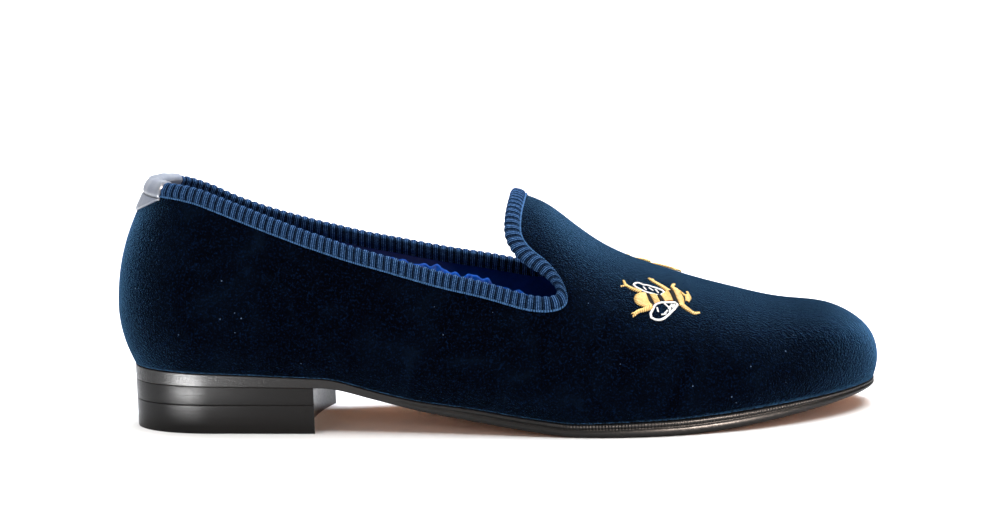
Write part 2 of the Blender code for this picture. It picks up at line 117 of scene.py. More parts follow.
def feed(node, inputs):
    """Sets or links sockets of a node, each found by its name or by its place among those in use."""
    in_use = [socket for socket in node.inputs if socket.enabled]
    for key, value in inputs.items():
        socket = in_use[key] if isinstance(key, int) else next(each for each in in_use if each.name == key)
        if isinstance(value, bpy.types.NodeSocket):
            node.id_data.links.new(value, socket)
        else:
            socket.default_value = linear(value) if isinstance(value, str) else value


def add(tree, kind, inputs=None, stops=(), **properties):
    """Adds one node, named as in ShaderNode + kind, and returns its first output in use."""
    new = tree.nodes.new("ShaderNode" + kind)
    for key, value in properties.items():
        setattr(new, key, value)
    feed(new, inputs or {})
    for number, (position, colour) in enumerate(stops):
        elements = new.color_ramp.elements
        element = elements[number] if number < len(elements) else elements.new(position)
        element.position = position
        element.color = linear(colour) if isinstance(colour, str) else (colour, colour, colour, 1.0)
    return next(socket for socket in new.outputs if socket.enabled)


def new_material(name, settings):
    """A material with one Principled shader: returns it, its tree and shader, and object and UV coordinates."""
    material = bpy.data.materials.new(name)
    material.use_nodes = True
    shader = material.node_tree.nodes["Principled BSDF"]
    feed(shader, settings)
    outputs = add(material.node_tree, "TexCoord").node.outputs
    return material, material.node_tree, shader, outputs["Object"], outputs["UV"]


print("the middle grey of a screen gives", round(linear("#808080")[0], 3), "of the light of white")


# %% [markdown]
# ## Floor and light
# The photograph was taken on a white sweep, with broad soft light from above and a little from the front. Here that is
# a pale floor, a white sky, one wide light overhead and three weak ones that fill in the front and the toe. Their size
# matters more than their strength: velvet shows its pile only where a wide light grazes it. Three more lights show in
# gloss alone.

# %% Floor
FLOOR_REACH = 14.0

floor_mesh = bpy.data.meshes.new("floor")
corners = FLOOR_REACH * np.array([(-1, -1, 0), (1, -1, 0), (1, 1, 0), (-1, 1, 0)])
floor_mesh.from_pydata(corners.tolist(), [], [(0, 1, 2, 3)])
floor = bpy.data.objects.new("floor", floor_mesh)
bpy.context.scene.collection.objects.link(floor)
# Matt white paper: no gloss, a trace of warmth.
paper_settings = {"Base Color": "#f6f5f4", "Roughness": 0.9, "Specular IOR Level": 0.2}
floor_mesh.materials.append(new_material("white_paper", paper_settings)[0])

# %% Light
bpy.context.scene.view_settings.view_transform = "Standard"
SKY_STRENGTH = 0.26
LIGHTS = (
    # name, place, aims at, width, height, watts, colour
    ("overhead", (0.10, 0.35, 2.2), (0.0, 0.35, 0.0), 3.2, 2.6, 145.0, "#ffffff"),
    ("front", (-0.9, -1.9, 0.9), (0.0, 0.0, 0.05), 1.4, 1.0, 3.0, "#fffdfa"),
    ("toe_side", (1.5, -0.3, 0.7), (0.1, 0.0, 0.04), 0.8, 0.9, 1.0, "#f6f9ff"),
    ("toe_top", (0.10, 0.26, 0.70), (0.10, 0.0, 0.05), 0.45, 0.45, 7.0, "#e2ecff"),
    ("heel_card", (-0.166, -0.086, 0.003), (-0.166, -0.086, 1.0), 0.04, 0.05, 0.95, "#ffffff"),
    ("sole_card", (0.128, -0.108, 0.003), (0.128, -0.108, 1.0), 0.06, 0.08, 2.2, "#ffe6d4"),
    ("sole_window", (0.95, -1.60, 0.55), (0.08, -0.04, 0.01), 0.5, 0.35, 200.0, "#ffeadb"),
)
# Seen from a little above, the upright polished edges mirror the floor in front of them. These two small cards lie
# there and show in gloss alone, and so does the window. They stand for the brightest spots of the white sweep.
GLOSS_ONLY = ("heel_card", "sole_card", "sole_window")

world = bpy.data.worlds.new("studio")
world.use_nodes = True
world.node_tree.nodes["Background"].inputs["Color"].default_value = linear("#ffffff")
world.node_tree.nodes["Background"].inputs["Strength"].default_value = SKY_STRENGTH
bpy.context.scene.world = world
for name, light_place, aim, width, height, watts, colour in LIGHTS:
    light_data = bpy.data.lights.new(name, "AREA")
    light_data.shape = "RECTANGLE"
    light_data.size = width
    light_data.size_y = height
    light_data.energy = watts
    light_data.color = linear(colour)[:3]
    light = bpy.data.objects.new(name, light_data)
    bpy.context.scene.collection.objects.link(light)
    towards = unit(np.array(light_place) - np.array(aim))
    light_x = unit(np.cross([0.0, 1.0, 0.0], towards))
    light.matrix_world = standing(light_x, np.cross(towards, light_x), towards, light_place)
    light.visible_diffuse = name not in GLOSS_ONLY
    light.visible_camera = name not in GLOSS_ONLY
print("lights", [entry[0] for entry in LIGHTS])

# %% [markdown]
# ## The last
# A shoe is built round a last, and everything on it follows the last's skin. That skin is one formula. Across the shoe
# at x, it stands above the feather line, where the upper meets the sole, by
#
#     crest * (closing - (|y - ridge| / half width) ** across_power) ** (1 / roundness)
#
# The tables give the crest, ridge, widths and roundness at a few sections, as shares of the driving sizes, and a
# smooth curve runs through their rows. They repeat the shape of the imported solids, because the solids are faceted and
# the surfaces laid here are finer.

# %% Driving sizes and tables of the last
LENGTH = 0.299
BALL_WIDTH = 0.104
INSTEP_HEIGHT = 0.081
TOPLINE_HEIGHT = 0.097
HEEL_HEIGHT = 0.0192
SOLE_THICKNESS = 0.0060
HEEL_LENGTH = 0.0797
UPPER_WALL = 0.0020
LINING_WALL = 0.0007
INSOLE_THICKNESS = 0.0025
BINDING_WIDTH = 0.0047
TAB_WIDTH = 0.0420
TAB_OUTER_LENGTH = 0.0135
TAB_SIDE_LENGTH = 0.0061
TAB_INNER_LENGTH = 0.0100
TAB_TAPE = 0.0007
TOP_PIECE_HEIGHT = 0.0113
BREAST_HOLLOW = 0.0045
BREAST_SKEW = 0.0020
HEEL_BACK_LEAN = 0.0110
HEEL_BELLY = 0.027
FIT_GAP = 0.0003
HEEL_ROUNDING = 0.038
TOE_ROUNDING = 0.060
ACROSS_POWER = 2.3
LEAN_POWER = 2.24
LEAN_FADE = 0.076
THROAT_AT = 0.530

# at, lateral, medial, ridge, crest, roundness
LAST = np.array([
    (0.00, -0.285, 0.285, 0.000, 1.42, 2.2),
    (0.12, -0.300, 0.298, 0.000, 1.42, 2.2),
    (0.25, -0.328, 0.303, 0.005, 1.41, 2.2),
    (0.36, -0.360, 0.290, 0.010, 1.31, 2.2),
    (0.45, -0.402, 0.300, 0.018, 1.15, 2.3),
    (0.52, -0.438, 0.335, 0.026, 1.005, 2.35),
    (0.57, -0.463, 0.375, 0.035, 0.945, 2.25),
    (0.60, -0.476, 0.400, 0.041, 0.868, 2.2),
    (0.63, -0.485, 0.425, 0.048, 0.778, 2.15),
    (0.72, -0.475, 0.475, 0.072, 0.607, 2.2),
    (0.80, -0.420, 0.477, 0.088, 0.495, 2.7),
    (0.88, -0.352, 0.452, 0.092, 0.424, 3.7),
    (0.94, -0.303, 0.430, 0.092, 0.420, 4.4),
    (1.00, -0.235, 0.390, 0.092, 0.364, 4.5),
])
# at, tuck, belly, ledge
WALL = np.array([
    (0.00, 0.058, 0.31, 0.000),
    (0.12, 0.053, 0.31, 0.004),
    (0.30, 0.044, 0.28, 0.005),
    (0.45, 0.046, 0.26, 0.007),
    (0.65, 0.030, 0.18, 0.017),
    (0.85, 0.022, 0.13, 0.014),
    (1.00, 0.018, 0.12, 0.003),
])
# at, height, slope, thickness
SOLE = np.array([
    (0.000, 1.000, -0.0142, 0.95),
    (0.275, 0.940, -0.0142, 0.57),
    (0.345, 0.710, -0.2500, 0.49),
    (0.405, 0.476, -0.2150, 0.58),
    (0.470, 0.290, -0.1700, 0.76),
    (0.560, 0.076, -0.1100, 0.80),
    (0.610, 0.000, 0.0000, 0.83),
    (0.730, 0.000, 0.0000, 0.98),
    (0.810, 0.066, 0.0850, 0.97),
    (0.870, 0.160, 0.1150, 0.86),
    (0.930, 0.275, 0.1250, 0.66),
    (1.000, 0.415, 0.1300, 0.42),
])
# at, lateral, medial
QUARTERS = np.array([
    (0.000, 1.000, 1.000),
    (0.060, 1.000, 0.972),
    (0.100, 0.990, 0.934),
    (0.150, 0.946, 0.869),
    (0.215, 0.870, 0.798),
    (0.335, 0.736, 0.701),
    (0.400, 0.677, 0.659),
    (0.463, 0.624, 0.619),
    (0.520, 0.578, 0.581),
])
THROAT = np.array([
    (0.560, 0.545, 0.556),
    (0.583, 0.543, 0.556),
    (0.592, 0.577, 0.588),
    (0.580, 0.630, 0.636),
    (0.554, 0.682, 0.682),
    (0.533, 0.745, 0.745),
    (0.526, 0.822, 0.822),
])
# share of the feather line, share of the topline
JOINING = np.array([(0.0, 0.0), (0.28, 0.385), (0.52, 0.725), (0.66, 0.805), (1.0, 1.0)])
print("length, ball width, topline height in mm:", 1000 * LENGTH, 1000 * BALL_WIDTH, 1000 * TOPLINE_HEIGHT)

# %% [markdown]
# ## Curves through the tables
# A table holds only a few rows, so a smooth curve has to fill what lies between. The sole has a slope in its table as
# well, because its underside is straight under the heel and at the ball, and bends between them.

# %% Curves through the tables
def smooth_through(rows, column, at):
    """One column of a table at any places by the natural cubic spline: its bends solve one linear system."""
    places = rows[:, 0]
    values = rows[:, column]
    steps = np.diff(places)
    grades = np.diff(values) / steps
    system = np.diag(np.concatenate([[1], 2 * (steps[:-1] + steps[1:]), [1]]))
    system += np.diag(np.concatenate([steps[:-1], [0]]), -1) + np.diag(np.concatenate([[0], steps[1:]]), 1)
    bends = np.linalg.solve(system, np.concatenate([[0], 6 * np.diff(grades), [0]]))
    i = np.clip(np.searchsorted(places, at) - 1, 0, len(places) - 2)
    h = steps[i]
    a = (places[i + 1] - at) / h
    b = (at - places[i]) / h
    cubic = (a**3 - a) * bends[i] + (b**3 - b) * bends[i + 1]
    return a * values[i] + b * values[i + 1] + cubic * h * h / 6


def sole_bottom(x):
    """Underside of the sole: between rows, the Hermite cubic with each row's height and slope."""
    places = SOLE[:, 0] * LENGTH
    heights = SOLE[:, 1] * HEEL_HEIGHT
    i = np.clip(np.searchsorted(places, x) - 1, 0, len(places) - 2)
    h = places[i + 1] - places[i]
    t = (x - places[i]) / h
    rise = heights[i + 1] - heights[i]
    start = h * SOLE[i, 2] - rise
    end = rise - h * SOLE[i + 1, 2]
    return heights[i] + t * rise + t * (1 - t) * ((1 - t) * start + t * end)


def sole_thickness(x):
    """Thickness of the sole at x."""
    return smooth_through(SOLE[:, [0, 3]], 1, x / LENGTH) * SOLE_THICKNESS


def feather_height(x):
    """Height where the upper meets the sole: the sole's underside, its thickness and a small gap."""
    return sole_bottom(x) + sole_thickness(x) + FIT_GAP


def section(x):
    """The section at x: edges, ridge, crest, roundness, and 1 - heel ** 2 - toe ** 2 that closes both ends."""
    at = x / LENGTH
    lateral, medial, ridge = (smooth_through(LAST, column, at) * BALL_WIDTH for column in (1, 2, 3))
    crest = smooth_through(LAST, 4, at) * INSTEP_HEIGHT
    heel = np.clip((HEEL_ROUNDING - x) / HEEL_ROUNDING, 0, None)
    toe = np.clip((x - LENGTH + TOE_ROUNDING) / TOE_ROUNDING, 0, None)
    return lateral, medial, ridge, crest, smooth_through(LAST, 5, at), np.clip(1 - heel**2 - toe**2, 0, None)


def skin_height(x, y):
    """Height of the skin above the feather line over x, y, by the formula of the last."""
    lateral, medial, ridge, crest, roundness, closing = section(x)
    width = np.where(y < ridge, ridge - lateral, medial - ridge)
    left = np.clip(closing - (np.abs(y - ridge) / width) ** ACROSS_POWER, 0, None)
    return crest * left ** (1 / roundness)


ball_at = 0.63 * LENGTH
print("skin over the middle of the ball in mm", (skin_height(np.array([ball_at]), 0.0)[0] / MM).round(1))

# %% [markdown]
# ## Loops round the shoe
# Two closed loops hold the shape together. The outline is the last seen from above. The topline is the edge of the
# opening: its table gives heights seen from the side, and each height is carried onto the last as an angle round its
# section. Both loops are read at the same number of stations, and lines on the skin join them.

# %% Loops
STATIONS = 560
FINE = 240
DIRECTION_ROUNDS = 40
BEND_ROUNDS = 100
QUARTER_POINTS = 16


def along(points):
    """Distance along a chain of points, from 0: the running sum of its steps."""
    return np.concatenate([[0], np.cumsum(np.linalg.norm(np.diff(points, axis=0), axis=1))])


def read_chain(points, shares):
    """Points at given shares of a chain's length."""
    run = along(points)
    return np.stack([np.interp(shares * run[-1], run, column) for column in points.T], axis=1)


def outline_half(side):
    """One side of the plan outline: y = ridge + side * half width * closing ** (1 / across_power)."""
    x = LENGTH * (1 - np.cos(np.linspace(0, np.pi, 4 * FINE))) / 2
    lateral, medial, ridge, _, _, closing = section(x)
    width = ridge - lateral if side < 0 else medial - ridge
    return np.stack([x, ridge + side * width * closing ** (1 / ACROSS_POWER)], axis=1)


def topline_half(side):
    """One side of the topline in plan: a height z gives a turn arcsin((z / crest) ** (roundness / 2)), and that y."""
    column = 1 if side < 0 else 2
    near_back = np.linspace(0, HEEL_ROUNDING, 4 * FINE)
    _, _, _, crest, roundness, closing = section(near_back)
    back_height = TOPLINE_HEIGHT - feather_height(0.0)
    back_x = np.interp(0, closing - (back_height / crest) ** roundness, near_back)
    quarter_x = back_x + (QUARTERS[-1, 0] * LENGTH - back_x) * np.linspace(0, 1, QUARTER_POINTS) ** 2
    quarter_z = smooth_through(QUARTERS, column, quarter_x / LENGTH)
    x = np.concatenate([quarter_x, THROAT[:, 0] * LENGTH])
    z = np.concatenate([quarter_z, THROAT[:, column]]) * TOPLINE_HEIGHT
    _, _, _, crest, roundness, closing = section(x)
    rise = (z - feather_height(x)) / (crest * closing ** (1 / roundness))
    turns = np.arcsin(np.clip(rise, 0, 1) ** (roundness / 2))
    turns[0] = np.pi / 2
    x = np.append(x, THROAT_AT * LENGTH)
    turns = np.append(turns, np.pi / 2)
    mirrored_x = np.concatenate([x[2:0:-1], x, x[-2:-4:-1]])
    mirrored_turns = np.concatenate([np.pi - turns[2:0:-1], turns, np.pi - turns[-2:-4:-1]])
    chain = np.stack([mirrored_x, mirrored_turns * INSTEP_HEIGHT], axis=1)
    run = along(chain)
    places = np.linspace(run[2], run[-3], 4 * FINE)
    x = smooth_through(np.stack([run, chain[:, 0]], axis=1), 1, places)
    turns = smooth_through(np.stack([run, chain[:, 1]], axis=1), 1, places) / INSTEP_HEIGHT
    lateral, medial, ridge, _, _, closing = section(x)
    width = ridge - lateral if side < 0 else medial - ridge
    reach = closing ** (1 / ACROSS_POWER) * np.cos(np.clip(turns, 0, np.pi / 2)) ** (2 / ACROSS_POWER)
    return np.stack([x, ridge + side * width * reach], axis=1)


def closed_loop(half, joining=None):
    """A closed loop of stations: heel, outer side, toe, inner side."""
    shares = np.linspace(0, 1, STATIONS // 2 + 1)
    if joining is not None:
        shares = smooth_through(joining, 1, shares)
    return np.concatenate([read_chain(half(-1), shares), read_chain(half(1), shares)[-2:0:-1]])


def plan_normals(loop):
    """Unit normals of a plan loop that runs anticlockwise: the step turned clockwise by a right angle."""
    run = np.roll(loop, -1, axis=0) - np.roll(loop, 1, axis=0)
    return unit(np.stack([run[:, 1], -run[:, 0]], axis=1))


OUTLINE = closed_loop(outline_half)
TOP_LOOP = closed_loop(topline_half, JOINING)
OUTWARD = plan_normals(OUTLINE)
TUCK = smooth_through(WALL, 1, OUTLINE[:, 0] / LENGTH) * BALL_WIDTH
BELLY = smooth_through(WALL, 2, OUTLINE[:, 0] / LENGTH) * INSTEP_HEIGHT
LEDGE = smooth_through(WALL, 3, OUTLINE[:, 0] / LENGTH) * BALL_WIDTH
print("outline", along(OUTLINE)[-1].round(3), "m round, topline in plan", along(TOP_LOOP)[-1].round(3), "m round")

# %% [markdown]
# ## Lines on the skin
# Each station of the outline is joined to the same station of the topline by a line on the skin. The lines leave the
# topline at a right angle, so the ribs and rows that follow them stand square to the edge. Two roundings are averaged
# until neighbouring lines never cross.

# %% Lines on the skin
TOPLINE_PROBE = 0.4 * MM


def averaged(ring, rounds):
    """A closed ring of values, each averaged with its neighbours as (1, 2, 1) / 4, in several rounds."""
    for _ in range(rounds):
        ring = (np.roll(ring, 1, axis=0) + 2 * ring + np.roll(ring, -1, axis=0)) / 4
    return ring


def square_to_topline():
    """Plan directions down the skin, square to the topline: the cross product of its run with the skin's normal.

    Averaging makes the lines fan out evenly at the throat.
    """
    x, y = TOP_LOOP.T
    slope_x = (skin_height(x + TOPLINE_PROBE, y) - skin_height(x - TOPLINE_PROBE, y)) / (2 * TOPLINE_PROBE)
    slope_y = (skin_height(x, y + TOPLINE_PROBE) - skin_height(x, y - TOPLINE_PROBE)) / (2 * TOPLINE_PROBE)
    run_x, run_y = (np.roll(TOP_LOOP, -1, axis=0) - np.roll(TOP_LOOP, 1, axis=0)).T
    run = np.stack([run_x, run_y, slope_x * run_x + slope_y * run_y], axis=1)
    down = np.cross(run, np.stack([-slope_x, -slope_y, np.ones(len(x))], axis=1))[:, :2]
    return unit(averaged(unit(down), DIRECTION_ROUNDS))


def skin_lines():
    """Lines from the feather line to the topline: quadratic Bezier curves in plan, lifted onto the skin.

    Their middle control points are averaged with their neighbours, so that no line crosses the next. Low down the plan
    is pulled inwards by tuck * (1 - height / belly) ** 2, and the back leans forward.
    """
    share = np.linspace(0, 1, FINE)[None, :, None]
    down = square_to_topline()
    reach = np.sum((OUTLINE - TOP_LOOP) * down, axis=1)
    straight = (OUTLINE + TOP_LOOP) / 2
    off = TOP_LOOP + down * np.clip(reach, 0, None)[:, None] / 2 - straight
    bend = (straight + averaged(off, BEND_ROUNDS))[:, None, :]
    ease = share ** smooth_through(LAST, 5, OUTLINE[:, 0] / LENGTH)[:, None, None]
    plan = (1 - ease) ** 2 * OUTLINE[:, None] + 2 * ease * (1 - ease) * bend + ease**2 * TOP_LOOP[:, None]
    height = skin_height(plan[..., 0], plan[..., 1])
    height[:, 0] = 0
    turn_in = TUCK[:, None] * np.clip(1 - height / BELLY[:, None], 0, None) ** 2
    base = feather_height(plan[..., 0])
    plan = plan - OUTWARD[:, None] * turn_in[..., None]
    rise = np.clip(height - HEEL_BELLY, 0, None) / (TOPLINE_HEIGHT - feather_height(0.0) - HEEL_BELLY)
    fade = np.clip(1 - plan[..., 0] / LEAN_FADE, 0, 1) ** 2
    x = plan[..., 0] + HEEL_BACK_LEAN * rise**LEAN_POWER * fade
    return np.stack([x, plan[..., 1], base + height], axis=2)


def read_lines(lines, depths):
    """Points on every line at given depths below its top: linear steps between the line's own points."""
    steps = np.linalg.norm(np.diff(lines, axis=1), axis=2)
    below = np.concatenate([np.cumsum(steps[:, ::-1], axis=1)[:, ::-1], np.zeros((len(lines), 1))], axis=1)
    depths = np.broadcast_to(depths, (len(lines), np.shape(depths)[-1]))
    low = np.clip(np.sum(below[:, None, :] > depths[:, :, None], axis=2) - 1, 0, lines.shape[1] - 2)
    rows = np.arange(len(lines))[:, None]
    share = (below[rows, low] - depths) / (below[rows, low] - below[rows, low + 1])
    share = share[..., None]
    return lines[rows, low] * (1 - share) + lines[rows, low + 1] * share, below[:, 0]


def grid_normals(grid):
    """Unit normals of a closed ring of chains: the cross product of its two central differences."""
    around = np.roll(grid, -1, axis=0) - np.roll(grid, 1, axis=0)
    return unit(np.cross(around, np.gradient(grid, axis=1)))


LINES = skin_lines()
CENTRE = (LINES.reshape(-1, 3).min(axis=0) + LINES.reshape(-1, 3).max(axis=0)) / 2
CENTRE[2] = 0
TOPLINE_ARC = np.concatenate([along(LINES[:, -1]), [0]])
TOPLINE_ARC[-1] = TOPLINE_ARC[-2] + np.linalg.norm(LINES[0, -1] - LINES[-1, -1])
print("topline", TOPLINE_ARC[-1].round(4), "m round; the last is centred by", CENTRE.round(5))

# %% [markdown]
# ## Meshes from grids
# Nearly every piece is a ring of stations with the same number of points at each. The quads between them come from
# index arithmetic on whole arrays. A UV map that runs in metres, along the ring and across it, lets a weave or a row
# of stitches follow the surface.


# %% Mesh helpers
def ring_quads(around, across, closed_across):
    """Corner numbers of the quads of a closed ring: (i, j), (i + 1, j), (i + 1, j + 1), (i, j + 1)."""
    i = np.arange(around)[:, None]
    j = np.arange(across if closed_across else across - 1)[None, :]
    n = (i + 1) % around
    k = (j + 1) % across
    return np.stack([i * across + j, n * across + j, n * across + k, i * across + k], axis=2).reshape(-1, 4)


def strip_faces(count, across):
    """Faces of an open strip of closed sections: the quads of a ring without its last row, and two end caps."""
    last = (count - 1) * across
    quads = [tuple(quad) for quad in ring_quads(count, across, True)[:last]]
    return quads + [tuple(range(across)), tuple(range(last + across - 1, last - 1, -1))]


def patch_quads(rows, columns):
    """Corner numbers of the quads of an open grid."""
    i = np.arange(rows - 1)[:, None]
    j = np.arange(columns - 1)[None, :]
    first = i * columns + j
    return np.stack([first, first + columns, first + columns + 1, first + 1], axis=2).reshape(-1, 4)


def ring_uv(around, across):
    """UV of the same quads, from the distances around (one more than stations) and across."""
    uv = np.stack(np.meshgrid(around, across, indexing="ij"), axis=2)
    return np.stack([uv[:-1, :-1], uv[1:, :-1], uv[1:, 1:], uv[:-1, 1:]], axis=2).reshape(-1, 2)


def piece(name, points, faces, materials, uv=None, material_index=None, centred=True):
    """A mesh object that stands for a part of the shoe: smooth, at the origin, riding on the one body."""
    points = np.asarray(points).reshape(-1, 3)
    if centred:
        points = points - CENTRE
    mesh = bpy.data.meshes.new(name)
    mesh.from_pydata(points.tolist(), [], [tuple(face) for face in np.asarray(faces, dtype=object)])
    mesh.polygons.foreach_set("use_smooth", np.ones(len(mesh.polygons), dtype=bool))
    for material in materials:
        mesh.materials.append(material)
    if material_index is not None:
        mesh.polygons.foreach_set("material_index", np.asarray(material_index, dtype=np.int32))
    if uv is not None:
        mesh.uv_layers.new(name="metres").data.foreach_set("uv", np.asarray(uv, dtype=np.float32).ravel())
    mesh.update()
    new = bpy.data.objects.new(name, mesh)
    bpy.context.scene.collection.objects.link(new)
    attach(new, "root")
    print(name, len(points), "points,", len(mesh.polygons), "faces")
    return new


print("one ring of", STATIONS, "stations and 2 points has", len(ring_quads(STATIONS, 2, False)), "quads")

# %% [markdown]
# ## Velvet
# Velvet is a pile of fine upright threads, cut level. Seen along the threads it swallows light and looks nearly black.
# Seen across them it glows, so its rims and its upper slopes turn blue. The sheen of the shader does that. A fine bump
# stands for the pile, and a broad faint one for strokes of the hand that left the pile lying this way and that.
# The colour carries painted sheen too: lighter strokes and paler specks where the pile would catch the light.

# %% Velvet material
PILE_GRAIN = 0.8 * MM
BRUSH_STROKE = 22 * MM

# Cotton velvet, woven as two cloths and cut apart: no gloss of its own, a strong blue sheen at its edges.
velvet, tree, shader, place_on, uv = new_material(
    "navy_cotton_velvet",
    {
        "Roughness": 1.0,
        "Specular IOR Level": 0.0,
        "IOR": 1.45,
        "Sheen Weight": 0.78,
        "Sheen Roughness": 0.28,
        "Sheen Tint": "#6ba6dc",
    },
)
grain = add(tree, "TexNoise", {"Vector": place_on, "Scale": 1 / PILE_GRAIN, "Detail": 3.0, "Roughness": 0.7})
tuft = add(tree, "TexNoise", {"Vector": place_on, "Scale": 0.45 / PILE_GRAIN, "Detail": 3.0})
brushed = add(tree, "TexNoise", {"Vector": place_on, "Scale": 1 / BRUSH_STROKE, "Detail": 4.0, "Distortion": 1.2})
# Painted sheen: the strokes make the blue lighter, and the grain specks paler, where the pile would catch light.
strokes = add(tree, "ValToRGB", {"Fac": brushed}, stops=[(0.40, 0.0), (0.62, 0.35), (0.74, 1.0)])
deep = add(tree, "Mix", {"Factor": strokes, "A": "#020205", "B": "#060d18"}, data_type="RGBA")
painted_pile_glints = add(tree, "ValToRGB", {"Fac": grain}, stops=[(0.52, 0.0), (0.74, 1.0)])
piled = add(tree, "Mix", {"Factor": painted_pile_glints, "A": deep, "B": "#0a1a33"}, data_type="RGBA")
# Lint: a pale speck here and there, where a cell of a coarse pattern is small and round.
specks = add(tree, "TexVoronoi", {"Vector": place_on, "Scale": 0.17 / MM, "Randomness": 1.0})
speck = add(tree, "Math", {0: specks, 1: 0.05}, operation="LESS_THAN")
rare = add(tree, "TexNoise", {"Vector": place_on, "Scale": 0.06 / MM, "Detail": 1.0})
kept = add(tree, "Math", {0: rare, 1: 0.50}, operation="GREATER_THAN")
lint = add(tree, "Math", {0: speck, 1: kept}, operation="MULTIPLY")
linted = add(tree, "Mix", {"Factor": lint, "A": piled, "B": "#50617a"}, data_type="RGBA")
broad = add(tree, "Bump", {"Height": brushed, "Distance": 1.2 * MM, "Strength": 0.12})
lumps = add(tree, "Bump", {"Height": tuft, "Distance": 0.5 * MM, "Strength": 0.25, "Normal": broad})
pile = add(tree, "Bump", {"Height": grain, "Distance": 0.65 * MM, "Strength": 1.0, "Normal": lumps})
feed(shader, {"Base Color": linted, "Normal": pile})

print("pile drawn at", PILE_GRAIN / MM, "mm, strokes at", BRUSH_STROKE / MM, "mm")

# Lining leather, dyed through and glazed: a saturated blue that shows only where light falls into the shoe.
lining_leather, tree, shader, place_on, uv = new_material(
    "royal_blue_lining_leather", {"Roughness": 0.6, "Specular IOR Level": 0.04, "IOR": 1.5}
)
creases = add(tree, "TexNoise", {"Vector": place_on, "Scale": 0.14 / MM, "Detail": 4.0})
# Painted shade: both colours are darker than the loose sheet of the same leather, for the shade inside the shoe.
lining_tone_painted_shade = add(tree, "Mix", {"Factor": creases, "A": "#04163a", "B": "#0a3a82"}, data_type="RGBA")
pores = add(tree, "TexVoronoi", {"Vector": place_on, "Scale": 1.4 / MM})
pored = add(tree, "Bump", {"Height": pores, "Distance": 0.1 * MM, "Strength": 0.3})
wrinkled = add(tree, "Bump", {"Height": creases, "Distance": 1.2 * MM, "Strength": 0.4, "Normal": pored})
feed(shader, {"Base Color": lining_tone_painted_shade, "Normal": wrinkled})

# %% [markdown]
# ## Upper and lining
# The upper is one shell: its outer face is the skin of the last, its inner face lies a wall's thickness inside. The
# lining is a second, thinner shell behind it. Both are rings whose section is a closed loop of points, up the outside,
# over the edge and down the inside, so neither has an open seam.


# %% Upper and lining
ROW_CROWDING = 1.15
LINE_SHARE = 0.9999
CEMENT = 0.05 * MM
LINING_DROP = 0.4 * MM


def add_shell(name, depths, rows, top, material):
    """A shell whose section is a closed loop: up the skin - normal * outer depth, down the skin - normal * inner."""
    _, full = read_lines(LINES, np.array([0.0]))
    up_shares = np.linspace(1, 0, rows[0]) ** ROW_CROWDING
    down_shares = np.linspace(0, 1, rows[1])
    outer, _ = read_lines(LINES, top + (full[:, None] - top) * up_shares * LINE_SHARE)
    inner, _ = read_lines(LINES, top + (full[:, None] - top) * down_shares * LINE_SHARE)
    outer = outer - grid_normals(outer) * depths[0]
    # Read downwards, a grid has its normals turned inwards.
    inner = inner + grid_normals(inner) * depths[1]
    loop = np.concatenate([outer, inner], axis=1)
    return piece(name, loop, ring_quads(STATIONS, loop.shape[1], True), [material])


lining_face = UPPER_WALL - LINING_WALL
# The pair of numbers after the depths: rows of points up the outside and down the inside.
upper = add_shell("upper_velvet", (0.0, lining_face - CEMENT), (96, 28), 0.0, velvet)
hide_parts("upper")
lining = add_shell("lining", (lining_face, UPPER_WALL), (24, 36), LINING_DROP, lining_leather)

# %% [markdown]
# ## Binding
# A grosgrain ribbon is folded over the edge of the upper and stitched down. Grosgrain has a heavy weft, so it is ribbed
# across its width, and at its lower edge a narrow flat selvedge holds the ribs. The ribbon is a channel section carried
# round the topline. Its thickness swells and sinks with the distance run, which gives real ribs, and their cut ends
# scallop the outline as they do in the photograph.

# %% Grosgrain material
RIB_COUNT = 164
WARP_PITCH = 0.55 * MM
CHAIN_PITCH = 0.9 * MM
SELVEDGE = 1.15 * MM
WEFTS_A_RIB = 4
rib_pitch = TOPLINE_ARC[-1] / RIB_COUNT
print("rib pitch in mm", (1000 * rib_pitch).round(2))

# Rayon grosgrain: a dull navy ribbon. Fine warp threads cross its ribs as pale dots, and its selvedge is paler still.
grosgrain, tree, shader, place_on, uv = new_material(
    "navy_rayon_grosgrain",
    {
        "Roughness": 0.8,
        "Specular IOR Level": 0.0,
        "Sheen Weight": 0.16,
        "Sheen Roughness": 0.4,
        "Sheen Tint": "#6f9ee0",
    },
)
split = add(tree, "SeparateXYZ", {0: uv}).node.outputs
turns = add(tree, "Math", {0: split["X"], 1: float(np.pi / rib_pitch)}, operation="MULTIPLY")
wave = add(tree, "Math", {0: turns}, operation="SINE")
ridge_height = add(tree, "Math", {0: wave}, operation="ABSOLUTE")
across = add(tree, "Math", {0: split["Y"], 1: float(2 * np.pi / WARP_PITCH)}, operation="MULTIPLY")
warp_wave = add(tree, "Math", {0: across}, operation="SINE")
along_rib = add(tree, "Math", {0: split["X"], 1: float(2 * np.pi * WEFTS_A_RIB / rib_pitch)}, operation="MULTIPLY")
weft_wave = add(tree, "Math", {0: along_rib}, operation="SINE")
dashed = add(tree, "MapRange", {0: warp_wave, 1: -1.0, 2: 0.6, 3: 0.45, 4: 1.0})
crossing = add(tree, "Math", {0: weft_wave, 1: dashed}, operation="MULTIPLY")
fibre = add(tree, "TexNoise", {"Vector": place_on, "Scale": 2.6 / MM, "Detail": 2.0})
warp = add(tree, "Math", {0: crossing, 1: 0.5, 2: fibre}, operation="MULTIPLY_ADD")
# Painted highlight and shade: the rib tops are lighter and the grooves between them darker.
rib_painted_light_and_shade = add(tree, "ValToRGB", {"Fac": ridge_height}, stops=[(0.3, "#030a16"), (0.75, "#0b1c34"), (1.0, "#172c48")])
threads = add(tree, "ValToRGB", {"Fac": warp}, stops=[(0.62, 0.0), (1.0, 1.0)])
